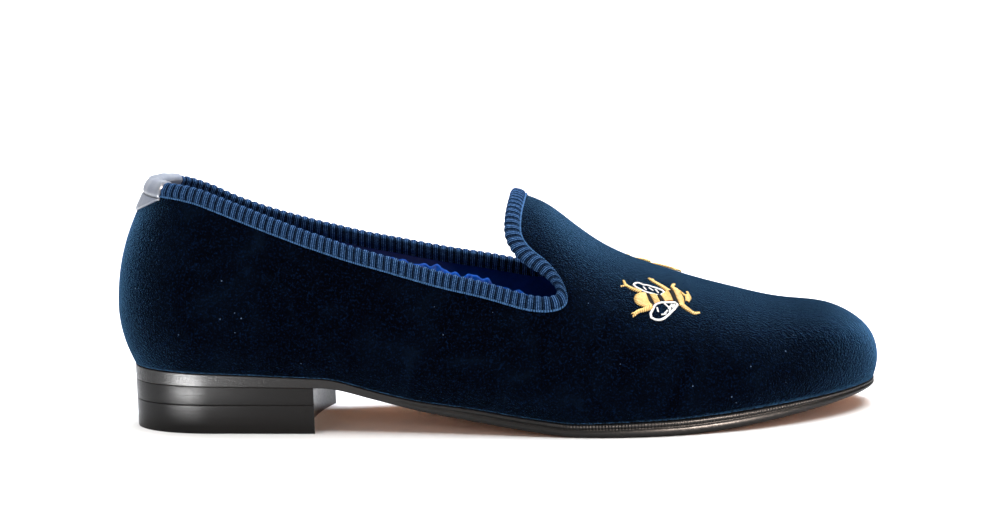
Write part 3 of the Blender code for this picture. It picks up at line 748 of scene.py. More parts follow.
# The warp dots show only on the rib tops: a weave pattern with painted glints on it.
warp_dots_painted_glints = add(tree, "Math", {0: threads, 1: ridge_height}, operation="MULTIPLY")
ribbed = add(tree, "Mix", {"Factor": warp_dots_painted_glints, "A": rib_painted_light_and_shade, "B": "#5a7fae"}, data_type="RGBA")
chain_turns = add(tree, "Math", {0: split["X"], 1: float(2 * np.pi / CHAIN_PITCH)}, operation="MULTIPLY")
chain_wave = add(tree, "Math", {0: chain_turns}, operation="SINE")
chain = add(tree, "MapRange", {0: chain_wave, 1: -0.8, 2: 0.6, 3: 0.15, 4: 0.95})
at_edge = add(tree, "Math", {0: split["Y"], 1: SELVEDGE}, operation="LESS_THAN")
edge_thread = add(tree, "Math", {0: chain, 1: at_edge}, operation="MULTIPLY")
edged = add(tree, "Mix", {"Factor": edge_thread, "A": ribbed, "B": "#456a94"}, data_type="RGBA")
weave = add(tree, "Bump", {"Height": warp, "Distance": 0.25 * MM, "Strength": 0.8})
chained = add(tree, "Bump", {"Height": edge_thread, "Distance": 0.2 * MM, "Strength": 0.6, "Normal": weave})
feed(shader, {"Base Color": edged, "Normal": chained})

# %% [markdown]
# ## The folded ribbon
# A strip that is folded over an edge has one profile, given as a short table, and it is carried along the topline.
# The same function serves the ribbon here and the satin tab after it.

# %% Binding
RIB_SAMPLES = 8
RIB_DEPTH = 0.55 * MM
# The ribbon's outer face from its lower edge up to the fold. Depth below the edge and stand-off from the skin are in
# mm, and the last column is the share of the rib's depth that shows there.
FACE_UNITS = (MM, MM, 1.0)
RIBBON_FACE = FACE_UNITS * np.array([
    # depth, stand-off, rib
    (4.85, 0.10, 0.0),
    (4.82, 0.45, 0.0),
    (4.55, 0.72, 0.1),
    (4.20, 0.70, 0.1),
    (3.95, 0.48, 0.0),
    (3.75, 0.75, 0.5),
    (3.40, 1.02, 1.0),
    (2.70, 1.25, 1.0),
    (1.90, 1.36, 1.0),
    (1.10, 1.34, 1.0),
    (0.40, 1.20, 1.0),
])
FOLD_POINTS = 9
FOLD_CROWN = 0.35 * MM
INSIDE_SHARE = 0.85
EDGE_PROBE = 0.6 * MM
RIB_ROUNDNESS = 0.8
RIB_MEAN = 0.85


def read_stations(grid, arcs):
    """A grid of stations read at distances along the topline, linearly between neighbours."""
    place = np.interp(arcs, TOPLINE_ARC, np.arange(STATIONS + 1))
    first = np.floor(place).astype(int) % STATIONS
    share = (place - np.floor(place)).reshape(-1, *[1] * (grid.ndim - 1))
    return grid[first] * (1 - share) + grid[(first + 1) % STATIONS] * share


def edge_frame(arcs):
    """The topline's points at distances along it, the way up over them and the way out of the shoe, of length one."""
    edge, _ = read_lines(LINES, np.array([EDGE_PROBE, 0.0]))
    up_way = unit(read_stations(edge[:, 1] - edge[:, 0], arcs))
    return read_stations(edge[:, 1], arcs), up_way, read_stations(grid_normals(edge)[:, 1], arcs)


def edge_section(face, arcs, swelling, depths=None):
    """Points of a folded strip: down the outside, round the edge as half an ellipse, down the inside.

    A point at depth q and stand-off n is skin(q) + normal(q) * n. Round the fold it is
    edge - normal * wall / 2 + normal * cos(a) * reach + up * sin(a) * rise.
    """
    skin, _ = read_lines(LINES, face[:, 0] if depths is None else depths)
    normals = read_stations(grid_normals(skin), arcs)
    skin = read_stations(skin, arcs)
    top, up_way, _ = edge_frame(arcs)
    out = normals[:, -1]
    stand_off = face[:, 1] + swelling[:, None] * face[:, 2]
    outside = skin + normals * stand_off[..., None]
    inside = (skin - normals * (UPPER_WALL + stand_off[..., None] * INSIDE_SHARE))[:, ::-1]
    angle = np.linspace(0, np.pi, FOLD_POINTS + 2)[1:-1]
    reach = UPPER_WALL / 2 + stand_off[:, -1]
    rise = stand_off[:, -1] + FOLD_CROWN
    middle = top - out * UPPER_WALL / 2
    fold = (
        middle[:, None]
        + out[:, None] * (np.cos(angle)[None, :] * reach[:, None])[..., None]
        + up_way[:, None] * (np.sin(angle)[None, :] * rise[:, None])[..., None]
    )
    return outside, fold, inside, skin, normals


def add_binding():
    """The ribbon: at distance s its ribs stand up by depth * (|sin(pi s / pitch)| ** roundness - mean)."""
    arcs = np.arange(RIB_COUNT * RIB_SAMPLES) * TOPLINE_ARC[-1] / (RIB_COUNT * RIB_SAMPLES)
    rib = RIB_DEPTH * (np.abs(np.sin(np.pi * arcs / rib_pitch)) ** RIB_ROUNDNESS - RIB_MEAN)
    outside, fold, inside, skin, normals = edge_section(RIBBON_FACE, arcs, rib)
    under = skin[:, ::4] + normals[:, ::4] * CEMENT
    lining_side = (skin[:, ::4] - normals[:, ::4] * (UPPER_WALL + CEMENT))[:, ::-1]
    loop = np.concatenate([outside, fold, inside, lining_side[:, :1], under[:, 1:][:, ::-1], under[:, :1]], axis=1)
    widths = np.append(along(loop[RIB_SAMPLES // 2]), 0)
    uv = ring_uv(np.append(arcs, TOPLINE_ARC[-1]), widths)
    ribbon = piece("binding_ribbon", loop, ring_quads(*loop.shape[:2], True), [grosgrain], uv=uv)
    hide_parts("topline_binding")


add_binding()

# %% [markdown]
# ## Satin tab
# A short piece of satin ribbon covers the join of the binding at the centre back. It goes over the edge and down both
# sides. Below the binding it is caught by a row of stitches, which draws a dark crease across it.

# %% Satin material and tab
# Polyester satin: long floats of thread that shine along one way, pale silver blue with painted lilac shade.
satin, tree, shader, place_on, uv = new_material(
    "silver_blue_satin",
    {"Roughness": 0.32, "Specular IOR Level": 0.6, "Anisotropic": 0.5, "Sheen Weight": 0.15, "Sheen Tint": "#e6eaf6"},
)
slub = add(tree, "TexNoise", {"Vector": place_on, "Scale": 0.9 / MM, "Detail": 3.0})
painted_fold_shade = add(tree, "TexNoise", {"Vector": place_on, "Scale": 0.13 / MM, "Detail": 1.0})
# Painted light: the lilac patches are painted shade, and the pale blue is partly a painted reflection of the white
# sweep.
satin_tone_painted_light = add(tree, "ValToRGB", {"Fac": painted_fold_shade}, stops=[(0.35, "#5e6678"), (0.62, "#84888f")])
spun = add(tree, "Mix", {"Factor": slub, "A": satin_tone_painted_light, "B": "#7b7f86"}, data_type="RGBA")
floats = add(tree, "Bump", {"Height": slub, "Distance": 0.08 * MM, "Strength": 0.5})
feed(shader, {"Base Color": spun, "Normal": floats})

# The tab's outer face with the same columns. The stitched crease lies under the binding.
TAB_FACE = FACE_UNITS * np.array([
    (13.5, 0.25, 0.0),
    (13.4, 0.80, 0.2),
    (12.6, 1.00, 0.6),
    (11.0, 1.05, 1.0),
    (9.4, 1.05, 1.0),
    (7.8, 1.15, 1.0),
    (6.6, 1.25, 0.6),
    (6.1, 1.15, 0.4),
    (5.7, 0.90, 0.0),
    (5.4, 0.40, 0.0),
    (5.1, 1.05, 0.2),
    (4.8, 1.45, 0.6),
    (4.2, 1.70, 1.0),
    (3.4, 1.95, 1.0),
    (2.2, 2.05, 1.0),
    (1.2, 2.00, 1.0),
    (0.4, 1.85, 1.0),
])
TAB_COLUMNS = 97
TAB_ROUNDING = 1.2
TAB_PLEAT = 0.09 * MM
TAB_EDGE = 0.03
TAB_EDGE_DROP = 0.3 * MM
TAB_UNDER = 0.10 * MM
TAB_OVER = BINDING_WIDTH + TAB_TAPE + FIT_GAP


def tab_depths():
    """Depths of the tab's points at every station: what hangs below the binding shrinks towards its two sides.

    The end lies at side + (length - side) * (1 - place ** 2) ** rounding, with place from -1 to 1 across the tab.
    """
    run = TOPLINE_ARC[:-1]
    place = 2 * np.minimum(run, TOPLINE_ARC[-1] - run) / TAB_WIDTH
    round_end = np.clip(1 - place**2, 0, 1) ** TAB_ROUNDING
    end = TAB_SIDE_LENGTH + (TAB_OUTER_LENGTH - TAB_SIDE_LENGTH) * round_end
    q = TAB_FACE[None, :, 0]
    below = TAB_OVER + (q - TAB_OVER) * ((end - TAB_OVER) / (TAB_OUTER_LENGTH - TAB_OVER))[:, None]
    return np.where(q > TAB_OVER, below, q)


def add_tab():
    """The tab: the same folded section over a stretch of the edge, with a few soft pleats across it."""
    share = np.linspace(-0.5, 0.5, TAB_COLUMNS)
    arcs = (share * TAB_WIDTH) % TOPLINE_ARC[-1]
    pleat = TAB_PLEAT * (np.sin(17 * share) + 0.6 * np.sin(41 * share + 1.0))
    outside, fold, inside, skin, normals = edge_section(TAB_FACE, arcs, pleat, tab_depths())
    keep = TAB_FACE[::-1, 0] < TAB_INNER_LENGTH
    inside = inside[:, keep]
    edge_drop = np.clip((np.abs(share) - 0.5 + TAB_EDGE) / TAB_EDGE, 0, 1) ** 2 * TAB_EDGE_DROP
    outside = outside - normals * edge_drop[:, None, None]
    under = skin[:, ::3] + normals[:, ::3] * TAB_UNDER
    back_wall = skin[:, ::3] - normals[:, ::3] * (UPPER_WALL + TAB_UNDER)
    back_wall = back_wall[:, TAB_FACE[::3, 0] < TAB_INNER_LENGTH]
    loop = np.concatenate([outside, fold, inside, back_wall, under[:, ::-1]], axis=1)
    tab = piece("satin_tab", loop, strip_faces(*loop.shape[:2]), [satin])
    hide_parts("heel_tab")


add_tab()

# %% [markdown]
# ## Loose edge of the lining
# Near the throat, on the outer side, the lining has come away from the wall and stands up crumpled behind the binding.
# It is a thin sheet whose height and distance from the wall wander with the run along the edge.

# %% Loose lining
LOOSE_FROM = 0.108
LOOSE_TO = 0.171
LOOSE_DEPTH = 7 * MM
LOOSE_TIP = 1 * MM
LOOSE_RISE = 3.4 * MM
LOOSE_WAVE = 1.3 * MM
LOOSE_SHEET = 0.5 * MM
LOOSE_AWAY = 1.8 * MM
LOOSE_GAP = 0.1 * MM
LOOSE_COLUMNS = 121
LOOSE_ROWS = 12

# The same leather where it is thin and loose: its blue is painted brighter than the lining's, as painted light on the
# sheet.
loose_leather, tree, shader, place_on, uv = new_material(
    "royal_blue_leather_painted_lighter", {"Roughness": 0.55, "Specular IOR Level": 0.04, "IOR": 1.5}
)
crumple_noise = add(tree, "TexNoise", {"Vector": place_on, "Scale": 0.22 / MM, "Detail": 4.0})
# Painted light: this copy of the lining leather is brighter than the lining itself.
loose_tone_painted_light = add(tree, "Mix", {"Factor": crumple_noise, "A": "#02205a", "B": "#0b52b0"}, data_type="RGBA")
crumpled = add(tree, "Bump", {"Height": crumple_noise, "Distance": 1.2 * MM, "Strength": 0.8})
feed(shader, {"Base Color": loose_tone_painted_light, "Normal": crumpled})


def add_loose_lining():
    """The sheet: edge + up * h - normal * (gap + wave(s) * share of its height), from -depth to rise(s)."""
    outer = np.arange(int(np.argmax(TOP_LOOP[: STATIONS // 2, 0])))
    inside_span = outer[(TOP_LOOP[outer, 0] > LOOSE_FROM) & (TOP_LOOP[outer, 0] < LOOSE_TO)]
    arcs = np.linspace(TOPLINE_ARC[inside_span[0]], TOPLINE_ARC[inside_span[-1]], LOOSE_COLUMNS)
    top, up_way, out = edge_frame(arcs)
    s = np.linspace(0, 1, LOOSE_COLUMNS)
    fade = np.sin(np.pi * s) ** 0.5
    ragged = 0.85 + 0.22 * np.sin(23 * s + 0.6) + 0.16 * np.sin(61 * s) + 0.1 * np.sin(97 * s + 2.0)
    rise = LOOSE_RISE * fade * ragged
    wave = LOOSE_WAVE * (0.6 * np.sin(31 * s) + 0.5 * np.sin(53 * s + 1.0) + 0.3 * np.sin(113 * s))
    share = np.linspace(0, 1, LOOSE_ROWS)[None, :]
    depth = (LOOSE_TIP + LOOSE_DEPTH * fade**2)[:, None]
    height = -depth + (rise[:, None] + depth) * share
    away = UPPER_WALL + (LOOSE_AWAY * fade + np.abs(wave) * fade)[:, None] * share**0.5 + LOOSE_GAP
    sheet = top[:, None] + up_way[:, None] * height[..., None] - out[:, None] * away[..., None]
    back_side = (sheet - out[:, None] * LOOSE_SHEET)[:, ::-1]
    loop = np.concatenate([sheet, back_side], axis=1)
    loose = piece("crumpled_lining", loop, strip_faces(*loop.shape[:2]), [loose_leather])


add_loose_lining()

# %% [markdown]
# ## Slabs between the two sides
# The insole and the outsole are slabs. Their sides are rings of stations, and their faces are strips from the outer to
# the inner side of the foot. The pieces of such a slab are made as one mesh and their shared points are merged.


# %% Slab helper
STRIPS = 24
MERGE_DISTANCE = 0.001 * MM


def plan_loop(stand_out):
    """The feather line in plan moved outwards: outline + normal * (stand_out - tuck)."""
    return OUTLINE + OUTWARD * (np.asarray(stand_out) - TUCK)[:, None]


def both_sides(loop):
    """The outer and the inner side of a loop, each read from the heel to the toe."""
    half = STATIONS // 2
    return loop[: half + 1], loop[np.arange(STATIONS, half - 1, -1) % STATIONS]


def across_patch(loop, height_of):
    """Points of a face from the outer to the inner side: lerp of the two sides, at the heights of its own plan."""
    outer, inner = both_sides(loop)
    share = np.linspace(0, 1, STRIPS + 1)[None, :, None]
    plan = outer[:, None] * (1 - share) + inner[:, None] * share
    return np.concatenate([plan, height_of(plan[..., 0], plan[..., 1])[..., None]], axis=2)


def slab(name, loops, heights, top_of, bottom_of, materials, bottom_index=0):
    """A closed slab: a ring of side levels from the top down, a top patch and a bottom patch, merged."""
    levels = len(loops)
    ring = np.stack([np.column_stack([loop, height]) for loop, height in zip(loops, heights)], axis=1)
    ring_faces = ring_quads(STATIONS, levels, False)[:, ::-1]
    top = across_patch(loops[0], top_of)
    bottom = across_patch(loops[-1], bottom_of)
    patch = patch_quads(STATIONS // 2 + 1, STRIPS + 1)
    first = ring.reshape(-1, 3).shape[0]
    second = first + top.reshape(-1, 3).shape[0]
    points = np.concatenate([ring.reshape(-1, 3), top.reshape(-1, 3), bottom.reshape(-1, 3)])
    faces = np.concatenate([ring_faces, patch + first, patch[:, ::-1] + second])
    index = np.repeat([0, 0, bottom_index], [len(ring_faces), len(patch), len(patch)])
    run = np.concatenate([along(loops[0]), [0]])
    run[-1] = run[-2] + np.linalg.norm(loops[0][0] - loops[0][-1])
    drop = along(ring[STATIONS // 3])
    side_uv = ring_uv(run, drop).reshape(-1, 4, 2)[:, ::-1].reshape(-1, 2)
    corner = points[faces[len(ring_faces) :].ravel()][:, :2]
    slab_piece = piece(name, points, faces, materials, uv=np.concatenate([side_uv, corner]), material_index=index)
    model = bmesh.new()
    model.from_mesh(slab_piece.data)
    bmesh.ops.remove_doubles(model, verts=model.verts, dist=MERGE_DISTANCE)
    model.to_mesh(slab_piece.data)
    model.free()
    return slab_piece


# %% [markdown]
# ## Insole sock
# The sock is the thin leather that covers the insole. It dips a little where the heel and the ball of the foot press.

# %% Sock
SOCK_DIP = 1.0 * MM
# Where the foot presses, ball and heel: share of the length, place across, half length, half width.
SOCK_HOLLOWS = ((0.67, 0.006, 0.03, 0.026), (0.10, 0.0, 0.03, 0.018))
SOCK_BEVEL = 0.6 * MM
SOCK_ARRIS = 0.5 * MM

# Vegetable tanned lining leather, dyed deep blue: smooth, with a low glaze.
sock_leather, tree, shader, place_on, uv = new_material(
    "deep_blue_sock_leather", {"Roughness": 0.45, "Specular IOR Level": 0.45, "IOR": 1.5}
)
cloud = add(tree, "TexNoise", {"Vector": place_on, "Scale": 0.045 / MM, "Detail": 4.0})
sock_dye = add(tree, "Mix", {"Factor": cloud, "A": "#07224f", "B": "#0d3a7c"}, data_type="RGBA")
sock_pores = add(tree, "TexVoronoi", {"Vector": place_on, "Scale": 1.3 / MM})
sock_grain = add(tree, "Bump", {"Height": sock_pores, "Distance": 0.1 * MM, "Strength": 0.3})
feed(shader, {"Base Color": sock_dye, "Normal": sock_grain})


def sock_top(x, y):
    """Top of the sock: feather height + thickness - dip * exp(-(x / half length) ** 2 - (y / half width) ** 2)."""
    height = feather_height(x) + INSOLE_THICKNESS
    for at, middle, half_length, half_width in SOCK_HOLLOWS:
        away = ((x - at * LENGTH) / half_length) ** 2 + ((y - middle) / half_width) ** 2
        height = height - SOCK_DIP * np.exp(-away)
    return height


sock_loop = plan_loop(-UPPER_WALL - FIT_GAP)
inner_loop = plan_loop(-UPPER_WALL - FIT_GAP - SOCK_BEVEL)
sock_rim = feather_height(sock_loop[:, 0])
sock = slab(
    "insole_sock",
    [inner_loop, sock_loop, sock_loop],
    [sock_rim + INSOLE_THICKNESS, sock_rim + INSOLE_THICKNESS - SOCK_ARRIS, sock_rim],
    sock_top,
    lambda x, y: feather_height(x),
    [sock_leather],
)
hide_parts("insole")

# %% [markdown]
# ## Outsole
# The outsole is two layers of leather, trimmed close and blackened at the edge. Round the forepart the edge has a thin
# flange above a groove, and a wheel with fine teeth was run along both. Its ticks catch the light as two rows of
# glints. The underside keeps the natural tan of the leather, and it warms the floor below the toe.

# %% Outsole materials
TICK_PITCH = 1.25 * MM

# Edge ink burnished with wax: nearly black, glossy, and faintly pebbled by the end grain of the leather under it.
sole_edge, tree, shader, place_on, uv = new_material(
    "burnished_black_sole_edge",
    {"Base Color": "#090808", "Specular IOR Level": 0.18, "Coat Weight": 0.12, "Coat Roughness": 0.28, "IOR": 1.5},
)
split = add(tree, "SeparateXYZ", {0: uv}).node.outputs
end_grain = add(tree, "TexNoise", {"Vector": place_on, "Scale": 0.9 / MM, "Detail": 3.0})
waxed = add(tree, "MapRange", {0: end_grain, 1: 0.35, 2: 0.7, 3: 0.3, 4: 0.5})
turns = add(tree, "Math", {0: split["X"], 1: float(2 * np.pi / TICK_PITCH)}, operation="MULTIPLY")
ticks = add(tree, "Math", {0: turns}, operation="SINE")
upper_half = add(tree, "MapRange", {0: split["Y"], 1: 3.2 * MM, 2: 2.4 * MM, 3: 0.0, 4: 1.0})
run = add(tree, "SeparateXYZ", {0: place_on}).node.outputs
in_front = add(tree, "MapRange", {0: run["X"], 1: 0.015, 2: 0.04, 3: 0.0, 4: 1.0})
wheeled = add(tree, "Math", {0: upper_half, 1: in_front}, operation="MULTIPLY")
wheel = add(tree, "Math", {0: ticks, 1: wheeled}, operation="MULTIPLY")
ticked = add(tree, "Bump", {"Height": wheel, "Distance": 0.16 * MM, "Strength": 0.8})
pebbled = add(tree, "Bump", {"Height": end_grain, "Distance": 0.2 * MM, "Strength": 0.8, "Normal": ticked})
feed(shader, {"Roughness": waxed, "Normal": pebbled})

# Oak-bark tanned sole leather, sanded and waxed: warm tan, a dull polish, cloudy from the tan.
sole_tan, tree, shader, place_on, uv = new_material(
    "natural_tan_sole_leather", {"Roughness": 0.45, "Specular IOR Level": 0.4, "IOR": 1.5}
)
cloud = add(tree, "TexNoise", {"Vector": place_on, "Scale": 0.038 / MM, "Detail": 6.0})
tanned = add(tree, "Mix", {"Factor": cloud, "A": "#8d5530", "B": "#c1875a"}, data_type="RGBA")
sanding = add(tree, "TexNoise", {"Vector": place_on, "Scale": 1.5 / MM, "Detail": 2.0})
sanded = add(tree, "Bump", {"Height": sanding, "Distance": 0.06 * MM, "Strength": 0.4})
feed(shader, {"Base Color": tanned, "Normal": sanded})

print("ticks of the wheel", TICK_PITCH / MM, "mm apart")

# %% [markdown]
# ## The sole's own shape
# The side of the sole is a profile with a flange and a groove at the forepart. Towards the heel the profile flattens.

# %% Outsole
# The side of the sole from its top to its bottom. height: share of its thickness. forepart, back: how far the side
# stands in from the outline, shares of the sole thickness.
SOLE_SIDE = np.array([
    (1.00, 0.10, 0.01),
    (0.97, 0.04, 0.00),
    (0.91, 0.01, 0.00),
    (0.85, 0.00, 0.00),
    (0.76, 0.01, 0.00),
    (0.71, 0.05, 0.00),
    (0.67, 0.11, 0.00),
    (0.62, 0.12, 0.00),
    (0.58, 0.07, 0.00),
    (0.53, 0.03, 0.00),
    (0.46, 0.01, 0.00),
    (0.36, 0.00, 0.00),
    (0.22, 0.02, 0.00),
    (0.10, 0.08, 0.00),
    (0.03, 0.14, 0.00),
    (0.00, 0.20, 0.01),
])
FOREPART_FROM = 0.36
FOREPART_FULL = 0.52


def bottom_of(x, y):
    """Underside of the sole. It is level across the foot, so it depends on x alone."""
    return sole_bottom(np.clip(x, 0, LENGTH))


fore = np.clip((OUTLINE[:, 0] / LENGTH - FOREPART_FROM) / (FOREPART_FULL - FOREPART_FROM), 0, 1)
stand_in = (SOLE_SIDE[:, 2:] + (SOLE_SIDE[:, 1:2] - SOLE_SIDE[:, 2:]) * fore) * SOLE_THICKNESS
sole_loops = [plan_loop(LEDGE - each) for each in stand_in]
sole_heights = [
    bottom_of(loop[:, 0], 0) + share * sole_thickness(np.clip(loop[:, 0], 0, LENGTH))
    for loop, share in zip(sole_loops, SOLE_SIDE[:, 0])
]
outsole = slab(
    "outsole_leather",
    sole_loops,
    sole_heights,
    lambda x, y: bottom_of(x, y) + sole_thickness(np.clip(x, 0, LENGTH)),
    bottom_of,
    [sole_edge, sole_tan],
    bottom_index=1,
)
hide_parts("outsole")

# %% [markdown]
# ## Heel
# The heel is a stack of leather lifts under the sole, and a top piece that stands on the floor. Its sides carry on the
# edge of the sole. The breast, which faces the toe, is hollow and shows the lifts as fine lines. The joint between the
# stack and the top piece is a real groove, because the photograph shows it as one clear line.

# %% Heel material and pieces
LIFT_PITCH = 3.1 * MM
BREAST_POINTS = 33
CORNER_CLEAR = 1 * MM
JOINT_GROOVE = 0.1 * MM
SHARP_ANGLE = float(np.radians(40))
# Levels of a layer from its top: share of its height, and how far its arrises stand in, in mm.
HEEL_LEVELS = ((1.0, 0.10), (0.985, 0.02), (0.96, 0.0), (0.5, 0.0), (0.04, 0.0), (0.015, 0.02), (0.0, 0.10))

# Leather lifts inked and ironed with wax: dark grey, half matt, so that a window of light runs down the curve.
heel_ink, tree, shader, place_on, uv = new_material(
    "waxed_black_heel_leather",
    {"Base Color": "#080707", "Specular IOR Level": 0.13, "Coat Weight": 0.05, "Coat Roughness": 0.4, "IOR": 1.5},
)
split = add(tree, "SeparateXYZ", {0: place_on}).node.outputs
fibre = add(tree, "TexNoise", {"Vector": place_on, "Scale": 1.1 / MM, "Detail": 3.0})
ironed = add(tree, "MapRange", {0: fibre, 1: 0.35, 2: 0.7, 3: 0.3, 4: 0.42})
wander = add(tree, "TexNoise", {"Vector": place_on, "Scale": 0.06 / MM, "Detail": 2.0})
wavy = add(tree, "Math", {0: wander, 1: 0.6 * MM, 2: split["Z"]}, operation="MULTIPLY_ADD")
layers = add(tree, "Math", {0: wavy, 1: float(np.pi / LIFT_PITCH)}, operation="MULTIPLY")
layer_wave = add(tree, "Math", {0: layers}, operation="SINE")
layer_edge = add(tree, "Math", {0: layer_wave}, operation="ABSOLUTE")
joint = add(tree, "ValToRGB", {"Fac": layer_edge}, stops=[(0.0, 0.0), (0.10, 1.0)])
jointed = add(tree, "Bump", {"Height": joint, "Distance": 0.05 * MM, "Strength": 0.35})
inked = add(tree, "Bump", {"Height": fibre, "Distance": 0.06 * MM, "Strength": 0.4, "Normal": jointed})
feed(shader, {"Roughness": ironed, "Normal": inked})


def heel_outline(stand_in):
    """Plan outline of the heel: the sole's edge behind the breast, then the breast as a parabola across."""
    sides = []
    for side, corner in zip(both_sides(plan_loop(LEDGE - stand_in)), (HEEL_LENGTH, HEEL_LENGTH + BREAST_SKEW)):
        x, y = side[:-1].T
        kept = side[: int(np.sum(x < corner - CORNER_CLEAR))]
        sides.append(np.vstack([kept, [corner - stand_in, np.interp(corner, x, y)]]))
    outer, inner = sides
    across = np.linspace(-1, 1, BREAST_POINTS)[1:-1, None]
    breast = (outer[-1] + inner[-1]) / 2 + across * (inner[-1] - outer[-1]) / 2
    breast[:, 0] -= BREAST_HOLLOW * (1 - across[:, 0] ** 2)
    return np.vstack([outer, breast, inner[:0:-1]])


def add_heel_piece(name, top, base, replaced):
    """A closed layer between two heights, each a function of x: levels set in at its upper and lower arris."""
    levels = []
    for share, stand_in in HEEL_LEVELS:
        outline = heel_outline(stand_in * MM)
        height = base(outline[:, 0]) + (top(outline[:, 0]) - base(outline[:, 0])) * share
        levels.append(np.column_stack([outline, height]))
    ring = np.stack(levels, axis=1)
    count, across = ring.shape[:2]
    faces = [tuple(quad) for quad in ring_quads(count, across, False)[:, ::-1]]
    faces.append(tuple(range(0, count * across, across)))
    faces.append(tuple(range(count * across - 1, 0, -across)))
    layer = piece(name, ring, faces, [heel_ink])
    layer.data.set_sharp_from_angle(angle=SHARP_ANGLE)
    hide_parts(replaced)


add_heel_piece(
    "heel_lifts",
    lambda x: sole_bottom(x) - CEMENT,
    lambda x: 0 * x + TOP_PIECE_HEIGHT + JOINT_GROOVE,
    "heel_stack",
)
add_heel_piece("heel_top_piece_leather", lambda x: 0 * x + TOP_PIECE_HEIGHT, lambda x: 0 * x, "heel_top_piece")

# %% [markdown]
# ## Embroidered bees
# A bee is embroidered on each side of the vamp. Each of its forms is filled with satin stitch: threads laid side by
# side from one edge of the form to the other. So a form is two edges in millimetres on flat cloth, and a leg or the
# rim of a wing is a path with a width, which gives the same two edges. Every thread then becomes a small tube that
# arches over the cloth.

# %% Threads
# Rayon embroidery thread: twisted and lustrous, a warm yellow that goes pale where it shines.
gold_thread, tree, shader, place_on, uv = new_material(
    "yellow_rayon_thread",
    {"Roughness": 0.45, "Specular IOR Level": 0.3, "Sheen Weight": 0.2, "Sheen Tint": "#fff3c0"},
)
twist = add(tree, "TexNoise", {"Vector": place_on, "Scale": 1.4 / MM, "Detail": 2.0})
dyed_thread = add(tree, "Mix", {"Factor": twist, "A": "#d3a446", "B": "#f6e092"}, data_type="RGBA")
feed(shader, {"Base Color": dyed_thread})

# The strands between, pulled deeper into the cloth: the same yellow darkened as painted shade, which reads as orange.
gold_thread_painted_shade = new_material("shaded_yellow_rayon_thread", {"Base Color": "#ab6c1a", "Roughness": 0.7})[0]

# The same thread undyed, for the rims and veins of the wings.
white_thread = new_material("white_rayon_thread", {"Base Color": "#d8d8d6", "Roughness": 0.4, "Sheen Weight": 0.3})[0]
# The same thread in black, between the bands of the body.
black_settings = {"Base Color": "#040405", "Roughness": 0.7, "Specular IOR Level": 0.1}
black_thread = new_material("black_rayon_thread", black_settings)[0]

THREADS = [gold_thread, white_thread, black_thread, gold_thread_painted_shade]
print(len(THREADS), "colours of thread")

# %% [markdown]
# ## The pattern on flat cloth
# The middle of the bee is the origin. Its head points along the first number and its upper legs along the second.

# %% Bee pattern
# Machine embroidery lays its threads about 0.4 mm apart, which is one pixel here, so only a faint grain shows.
THREAD_PITCH = 0.42
THREAD_SEGMENTS = 6
THREAD_SIDES = 5
SKIN_STEPS = 8
SKIN_PROBE = 0.3 * MM
THREAD_RISE = 0.55 * MM
THREAD_LIFT = 0.12 * MM
THREAD_BULGE = 0.3
PATH_POINTS = 40
PATH_SLANT = 0.5
GOLD, WHITE, BLACK, GOLD_PAINTED_SHADE = 0, 1, 2, 3
DEEP_STRAND = 0.6

# Forms of the body from its tip to its head, as (thread, one edge, other edge), in mm.
TIP_REAR = [(-5.9, 2.0), (-8.1, 1.2), (-9.9, -0.5), (-10.4, -2.6)]
TIP_REAR += [(-9.9, -4.6), (-8.8, -5.6), (-7.3, -6.0), (-5.0, -5.6)]
TIP_FRONT = [(-5.7, 1.7), (-5.3, 0.4), (-4.8, -1.1), (-4.4, -2.5), (-3.6, -3.6), (-2.8, -4.2)]
BAND_A_REAR = [(-4.4, 1.9), (-3.6, 0.0), (-2.9, -1.6), (-2.2, -3.6)]
BAND_A_FRONT = [(-1.3, 2.3), (-0.9, 1.0), (-0.4, -0.3), (0.0, -1.5)]
BAND_B_REAR = [(0.2, 2.9), (0.8, 1.6), (1.4, 0.3), (2.0, -0.6)]
BAND_B_FRONT = [(3.6, 7.4), (4.2, 5.5), (4.8, 3.3), (5.4, 0.9)]
CHEST_REAR = [(4.9, 10.4), (5.6, 8.1), (6.2, 4.9), (6.9, 1.9), (7.8, -0.8)]
CHEST_FRONT = [(7.4, 10.6), (8.8, 7.2), (9.5, 4.6), (9.7, 2.0), (9.6, -0.6)]
HEAD_REAR = [(10.1, 7.2), (10.2, 4.9), (10.2, 2.7)]
HEAD_FRONT = [(11.5, 7.9), (12.8, 6.0), (11.5, 2.4)]
BEE_FORMS = (
    (BLACK, TIP_FRONT, BAND_A_REAR),
    (BLACK, BAND_A_FRONT, BAND_B_REAR),
    (BLACK, BAND_B_FRONT, CHEST_REAR[1:]),
    (GOLD, TIP_REAR, TIP_FRONT),
    (GOLD, BAND_A_REAR, BAND_A_FRONT),
    (GOLD, BAND_B_REAR, BAND_B_FRONT),
    (GOLD, CHEST_REAR, CHEST_FRONT),
    (GOLD, HEAD_REAR, HEAD_FRONT),
)
